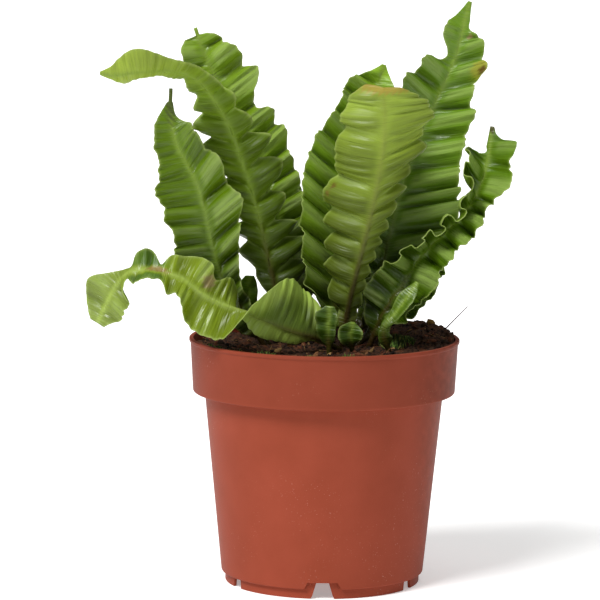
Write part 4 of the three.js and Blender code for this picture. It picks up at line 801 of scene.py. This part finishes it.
def prism(outline, near, far, angle):
    """A block with an outline in x and z that reaches out towards -Y, turned by an angle."""
    count = len(outline)
    vertices = np.array([(x, -reach, z) for reach in (near, far) for x, z in outline], float)
    turn = np.array(Matrix.Rotation(angle, 3, "Z"))
    sides = [[k, (k + 1) % count, (k + 1) % count + count, k + count] for k in range(count)]
    faces = [list(range(count))[::-1], *sides, list(range(count, 2 * count))]
    mesh = bpy.data.meshes.new("cutter")
    mesh.from_pydata((vertices @ turn.T * MM + AXIS).tolist(), [], faces)
    close(mesh)
    return place_object("cutter", mesh)


def cylinder(radius, low, high, x=0, y=0, sides=48):
    middle = Vector(AXIS) + Vector((x, y, (low + high) / 2)) * MM
    bpy.ops.mesh.primitive_cylinder_add(
        vertices=sides, radius=radius * MM, depth=(high - low) * MM, location=middle
    )
    return bpy.context.object


def cut(body, cutter):
    """Takes the cutter out of the body."""
    modifier = body.modifiers.new("cut", "BOOLEAN")
    modifier.object = cutter
    modifier.operation = "DIFFERENCE"
    modifier.solver = "EXACT"
    bpy.context.view_layer.objects.active = body
    bpy.ops.object.modifier_apply(modifier=modifier.name)
    bpy.data.objects.remove(cutter)


def make_pot():
    profile = rounded(POT_PROFILE)
    profile[0, 0] = profile[-1, 0] = HUB
    vertices, faces = lathe(profile, POT_SIDES)
    pot = new_mesh("pot_body", vertices, faces, plastic())
    close(pot.data, POT_SIDES)
    pot.data.shade_smooth()
    for k in range(NOTCH_COUNT):
        angle = k * TAU / NOTCH_COUNT
        cut(pot, prism(TALL_NOTCH, *NOTCH_REACH, angle))
        cut(pot, prism(LOW_NOTCH, *NOTCH_REACH, angle + TAU / NOTCH_COUNT / 2))
        arch = prism(ARCH, *NOTCH_REACH, angle)
        cut(arch, cylinder(FOOT_RADIUS + ARCH_GAP, *ARCH_RANGE, sides=POT_SIDES))
        cut(pot, arch)
    for k in range(DRAIN_HOLES):
        angle = k * TAU / DRAIN_HOLES
        x, y = DRAIN_CIRCLE * math.sin(angle), -DRAIN_CIRCLE * math.cos(angle)
        cut(pot, cylinder(DRAIN_RADIUS, *DRAIN_RANGE, x, y))
    pot.data.set_sharp_from_angle(angle=SHARP_ANGLE)
    belongs(pot, "pot", "pot")


def plastic():
    """Terracotta-coloured plastic, matte, with painted shade on the band below the rim, faint clouds,
    small pale specks and blotchy brown painted shade at the right."""
    n = Nodes("terracotta_plastic")
    place = n.place()
    cloud = n.noise(place, scale=60, detail=4)
    specks = n.spread(n.noise(place, scale=1500, detail=1), 0.7, 0.76)
    patches = n.spread(n.noise(place, scale=35, detail=2), 0.5, 0.65)
    base = n.mix(n.spread(cloud, 0.3, 0.7), linear("#914330"), linear("#8a3f2c"))
    parts = n.add("SeparateXYZ", {0: place}).outputs
    # painted shade on the band and rim above BAND_Z
    base = n.scaled(base, n.spread(parts["Z"], BAND_Z - MM, BAND_Z + MM, start=1, end=BAND_PAINTED_SHADE))
    # blotchy painted shade on the right side of the pot
    painted_shade_at_right = n.spread(parts["X"], *(AXIS[0] + RIGHT_PAINTED_SHADE_X * MM))
    shade_blotches = n.spread(n.noise(place, scale=260, detail=4), 0.35, 0.6, start=0.2, end=0.6)
    base = n.mix(n.math("MULTIPLY", painted_shade_at_right, shade_blotches), base, linear("#532617"))
    speckled = n.math("MULTIPLY", specks, n.math("MULTIPLY", patches, 0.35))
    n.link(n.mix(speckled, base, linear("#d6b3a2")), "Base Color")
    n.keep({"Roughness": 0.5, "Specular IOR Level": 0.05})
    n.bump(n.noise(place, scale=2500, detail=2), 0.00005)
    return n.material


# Soil

SOIL_LEVEL, SOIL_EDGE = 105.2, 57.5
SOIL_SIDES, SOIL_RINGS = 240, 96
EDGE_ROUGH, EDGE_WIDTH = 0.3, 3  # share of the roughness left at the soil's edge, and where that starts
SOIL_PROFILE = [(0, 9.2, 0), (43.7, 9.2, 1), (51.5, 86.4, 0.5), (56.9, 87.2, 0.5), (SOIL_EDGE, 104, 0)]
HEAP = {"height": 6.5, "turn": math.radians(28), "spread": math.radians(45), "start": 12, "full": 46}
MOUND, RIPPLE = 0.7, 0.45  # heights of the soil's uneven swells
COARSE, FINE = 1.1, 0.6  # heights of its lumps and crumbs, which are 5 and 1.3 mm wide


def soil_height(x, y):
    """Height of the soil: lumpy, and heaped against the rim at the right and behind."""
    round_pot = (np.arctan2(y, x) - HEAP["turn"]) / HEAP["spread"]
    heap = HEAP["height"] * np.exp(-(round_pot**2)) * smooth(HEAP["start"], HEAP["full"], np.hypot(x, y))
    mounds = MOUND * np.sin(0.33 * x + 1.3) * np.sin(0.29 * y + 0.4)
    return SOIL_LEVEL + heap + mounds + RIPPLE * np.sin(0.61 * x - 0.53 * y)


def roughness_at(x, y):
    """Height of the small lumps of soil."""
    coarse = noise.fractal(Vector((x / 5, y / 5, 0)), 1.0, 2.2, 3)
    fine = abs(noise.noise(Vector((x / 1.3, y / 1.3, 7))))
    return COARSE * coarse + FINE * fine


def make_soil():
    outside = rounded(SOIL_PROFILE)
    outside[0, 0] = HUB
    radii = np.linspace(SOIL_EDGE, HUB, SOIL_RINGS + 1)
    top = np.stack([radii, np.full_like(radii, SOIL_LEVEL)], -1)
    profile = np.concatenate([outside[:-1], top])
    vertices, faces = lathe(profile, SOIL_SIDES)
    first = (len(outside) - 1) * SOIL_SIDES
    x, y = ((vertices[first:, axis] - AXIS[axis]) / MM for axis in (0, 1))
    rough = np.array([roughness_at(a, b) for a, b in zip(x, y)])
    inwards = smooth(SOIL_EDGE, SOIL_EDGE - EDGE_WIDTH, np.hypot(x, y))
    rough = rough * (EDGE_ROUGH + (1 - EDGE_ROUGH) * inwards)
    vertices[first:, 2] = AXIS[2] + (soil_height(x, y) + rough) * MM
    soil = new_mesh("soil_body", vertices, faces, peat())
    close(soil.data, SOIL_SIDES)
    soil.data.shade_smooth()
    belongs(soil, "soil", "soil")


def peat():
    """Dark brown peat with lighter and reddish bits."""
    n = Nodes("peat")
    place = n.place()
    grain = n.noise(place, scale=900, detail=4)
    patch = n.noise(place, scale=180, detail=3)
    base = n.mix(n.spread(grain, 0.35, 0.65), linear("#1a110c"), linear("#4a3021"))
    colour = n.mix(n.spread(patch, 0.55, 0.75), base, linear("#6b3f26"))
    n.link(colour, "Base Color")
    n.keep({"Roughness": 0.95, "Specular IOR Level": 0.15})
    n.bump(grain, 0.0008)
    return n.material


# What lies and grows on the soil

CRUMB_COUNT, CHIP_COUNT, FIBRE_COUNT = 620, 70, 150
CRUMB_SIZE, CRUMB_RANGE = 0.35, 1.2  # half a small crumb, and what a rare large one has more
CHIP_SIZE, CHIP_FORM = (0.9, 1.5), np.array([1.9, 0.8, 0.3])
FIBRE_LENGTH, FIBRE_RADIUS, FIBRE_LIFT = (3, 11), (0.1, 0.22), 0.4
SHOOT_RADIUS, SHOOT_DEPTH = (0.25, 0.45), 0.5
CRUMB_COLOURS = ["#170f0a", "#22160e", "#2f1e13", "#3b2416", "#5b3320", "#7a5233"]
CRUMB_SHARES = [0.3, 0.28, 0.2, 0.12, 0.07, 0.03]
FIBRE_COLOURS = ["#5b3320", "#6e4a2e", "#8d6f45", "#3b2416"]
MOSS_COLOURS = ["#2c3a14", "#3f5a1e", "#55702a", "#7d8040", "#222e10"]
# Middle, radius and height in mm of each tuft of moss, and its number of shoots.
MOSS = [
    (-50, -21, 5, 3.5, 90), (-41, -35, 5, 3, 80), (-27, -46, 7, 3.5, 120), (-4, -50, 5, 2.5, 60),
    (9, -51, 6, 2.5, 90), (32, -8, 7.5, 3.8, 480), (24, -44, 4, 2, 40), (-20, 38, 8, 3, 120),
    (12, 47, 6, 3, 70),
]
STALK_PATH = [(51, 16, 107), (55, 14.5, 112), (59.5, 13, 117), (64, 12, 121.8)]
LUMP = [(48, 25, 111.2), (2.3, 1.5, 3)]  # middle and half sizes of the lighter clod on the heap
SEED = 7


def on_soil(rng, count):
    """Random places on the soil, away from its edge, with the height there."""
    turn = rng.uniform(0, TAU, count)
    radius = (SOIL_EDGE - 1.5) * np.sqrt(rng.uniform(0, 1, count))
    x, y = radius * np.cos(turn), radius * np.sin(turn)
    rough = np.array([roughness_at(a, b) for a, b in zip(x, y)])
    return np.stack([x, y, soil_height(x, y) + rough], -1)


def random_turn(rng):
    """A turn in any direction, as a matrix."""
    return np.linalg.qr(rng.normal(size=(3, 3)))[0]


def ball():
    """Vertices and triangles of a round ball of 42 vertices."""
    made = bmesh.new()
    bmesh.ops.create_icosphere(made, subdivisions=2, radius=1)
    vertices = np.array([v.co for v in made.verts])
    faces = np.array([[v.index for v in face.verts] for face in made.faces])
    made.free()
    return vertices, faces


def tube(path, radii, sides):
    """Vertices and four-cornered faces of a closed tube along a path, with an even number of sides."""
    path = np.asarray(path, float)
    ahead = unit(np.gradient(path, axis=0))
    beside = unit(np.cross(ahead, (0.31, 0.52, 0.79)))
    turns = np.arange(sides) * TAU / sides
    above = np.cross(ahead, beside)
    ring = np.cos(turns)[:, None] * beside[:, None] + np.sin(turns)[:, None] * above[:, None]
    vertices = (path[:, None] + np.asarray(radii)[:, None, None] * ring).reshape(-1, 3)
    index, faces = ring_faces(len(path), sides)
    cap = [[k, k + 1, sides - 2 - k, sides - 1 - k] for k in range(sides // 2 - 1)]
    return vertices, np.concatenate([faces, index[0][cap][:, ::-1], index[-1][cap]])


def add_bits(name, slot, bits, roughness):
    """One piece from many small closed forms, each given by vertices, faces and a colour."""
    places, faces, colours = zip(*bits)
    counts = [len(part) for part in places]
    faces = np.concatenate([part + start for part, start in zip(faces, np.cumsum([0, *counts]))])
    piece = new_mesh(name, np.concatenate(places) * MM + AXIS, faces, tinted(name, roughness))
    tints = np.repeat([(*linear(colour), 1) for colour in colours], counts, axis=0)
    store(piece, "bit_tint", "FLOAT_COLOR", "color", tints)
    belongs(piece, slot)


def make_crumbs(rng):
    """Crumbs and flat chips of peat and bark, and one lighter clod on the heap."""
    points, faces = ball()
    bits = []
    for k, place in enumerate(on_soil(rng, CRUMB_COUNT + CHIP_COUNT)):
        chip = k >= CRUMB_COUNT
        size = rng.uniform(*CHIP_SIZE) if chip else CRUMB_SIZE + CRUMB_RANGE * rng.uniform() ** 2.5
        sizes = size * (CHIP_FORM if chip else rng.uniform(0.7, 1.3, 3))
        rough = 1 + 0.16 * rng.normal(size=(len(points), 1))
        colour = FIBRE_COLOURS[rng.integers(3)] if chip else rng.choice(CRUMB_COLOURS, p=CRUMB_SHARES)
        bits.append((points * rough * sizes @ random_turn(rng) + place, faces, colour))
    clod = points * (1 + 0.12 * rng.normal(size=(len(points), 1))) * LUMP[1] + LUMP[0]
    bits.append((clod, faces, "#7b5c2c"))
    add_bits("soil_crumbs", "soil", bits, 0.95)


def make_fibres(rng):
    """Thin bent fibres on the peat."""
    bits = []
    for place in on_soil(rng, FIBRE_COUNT):
        length = rng.uniform(*FIBRE_LENGTH)
        way = unit(rng.normal(size=3) * (1, 1, 0.25))
        bend = rng.normal(size=3) * (1, 1, 0.5) * length * 0.12
        t = np.linspace(-0.5, 0.5, 7)[:, None]
        path = place + (0, 0, FIBRE_LIFT) + way * length * t + bend * (1 - 4 * t**2)
        radii = rng.uniform(*FIBRE_RADIUS) * (1 - 1.2 * np.abs(t[:, 0]))
        bits.append((*tube(path, radii, 4), FIBRE_COLOURS[rng.integers(4)]))
    add_bits("soil_fibres", "soil", bits, 0.9)


def make_moss(rng):
    """Tufts of short pointed shoots."""
    bits = []
    for x, y, spread, height, count in MOSS:
        for _ in range(count):
            turn, out = rng.uniform(0, TAU), np.sqrt(rng.uniform())
            foot_x, foot_y = x + spread * out * math.cos(turn), y + spread * out * math.sin(turn)
            if math.hypot(foot_x, foot_y) > SOIL_EDGE - 1:
                continue
            low = soil_height(foot_x, foot_y) - SHOOT_DEPTH
            tall = height * (1.15 - 0.6 * out**2) + SHOOT_DEPTH
            tip = rng.normal(size=3) * (0.8, 0.8, 0.2) + (0, 0, tall)
            t = np.linspace(0, 1, 4)[:, None]
            path = (foot_x, foot_y, low) + tip * t + (0, 0, 0.5) * t * (1 - t)
            radii = rng.uniform(*SHOOT_RADIUS) * (1 - 0.95 * t[:, 0] ** 2)
            bits.append((*tube(path, radii, 4), MOSS_COLOURS[rng.integers(5)]))
    add_bits("moss", "frond", bits, 0.8)


def make_dry_stalk():
    """The thin dry stalk that stands up from the heap."""
    path = centripetal(np.array(STALK_PATH, float), 8)
    radii = np.linspace(0.34, 0.2, len(path))
    add_bits("dry_stalk", "soil", [(*tube(path, radii, 8), "#85767a")], 0.8)


def tinted(name, roughness):
    """Finish of small natural bits, whose colours come from the mesh."""
    n = Nodes(name + "_finish")
    grain = n.noise(n.place(), scale=2500, detail=3)
    shade = n.spread(grain, 0.3, 0.7, start=0.6, end=1.35)
    n.link(n.scaled(n.attribute("bit_tint", "Color"), shade), "Base Color")
    n.keep({"Roughness": roughness, "Specular IOR Level": 0.2})
    n.bump(grain, 0.0002)
    return n.material


make_camera()
make_stage()
make_pot()
make_soil()
draws = np.random.default_rng(SEED)
make_crumbs(draws)
make_fibres(draws)
make_moss(draws)
make_dry_stalk()
green = [frond_material(side, *finish) for side, finish in LEAF_SIDES.items()]
for name, spec in FRONDS.items():
    belongs(make_frond(name, spec, green), spec.get("slot", "frond"), name)
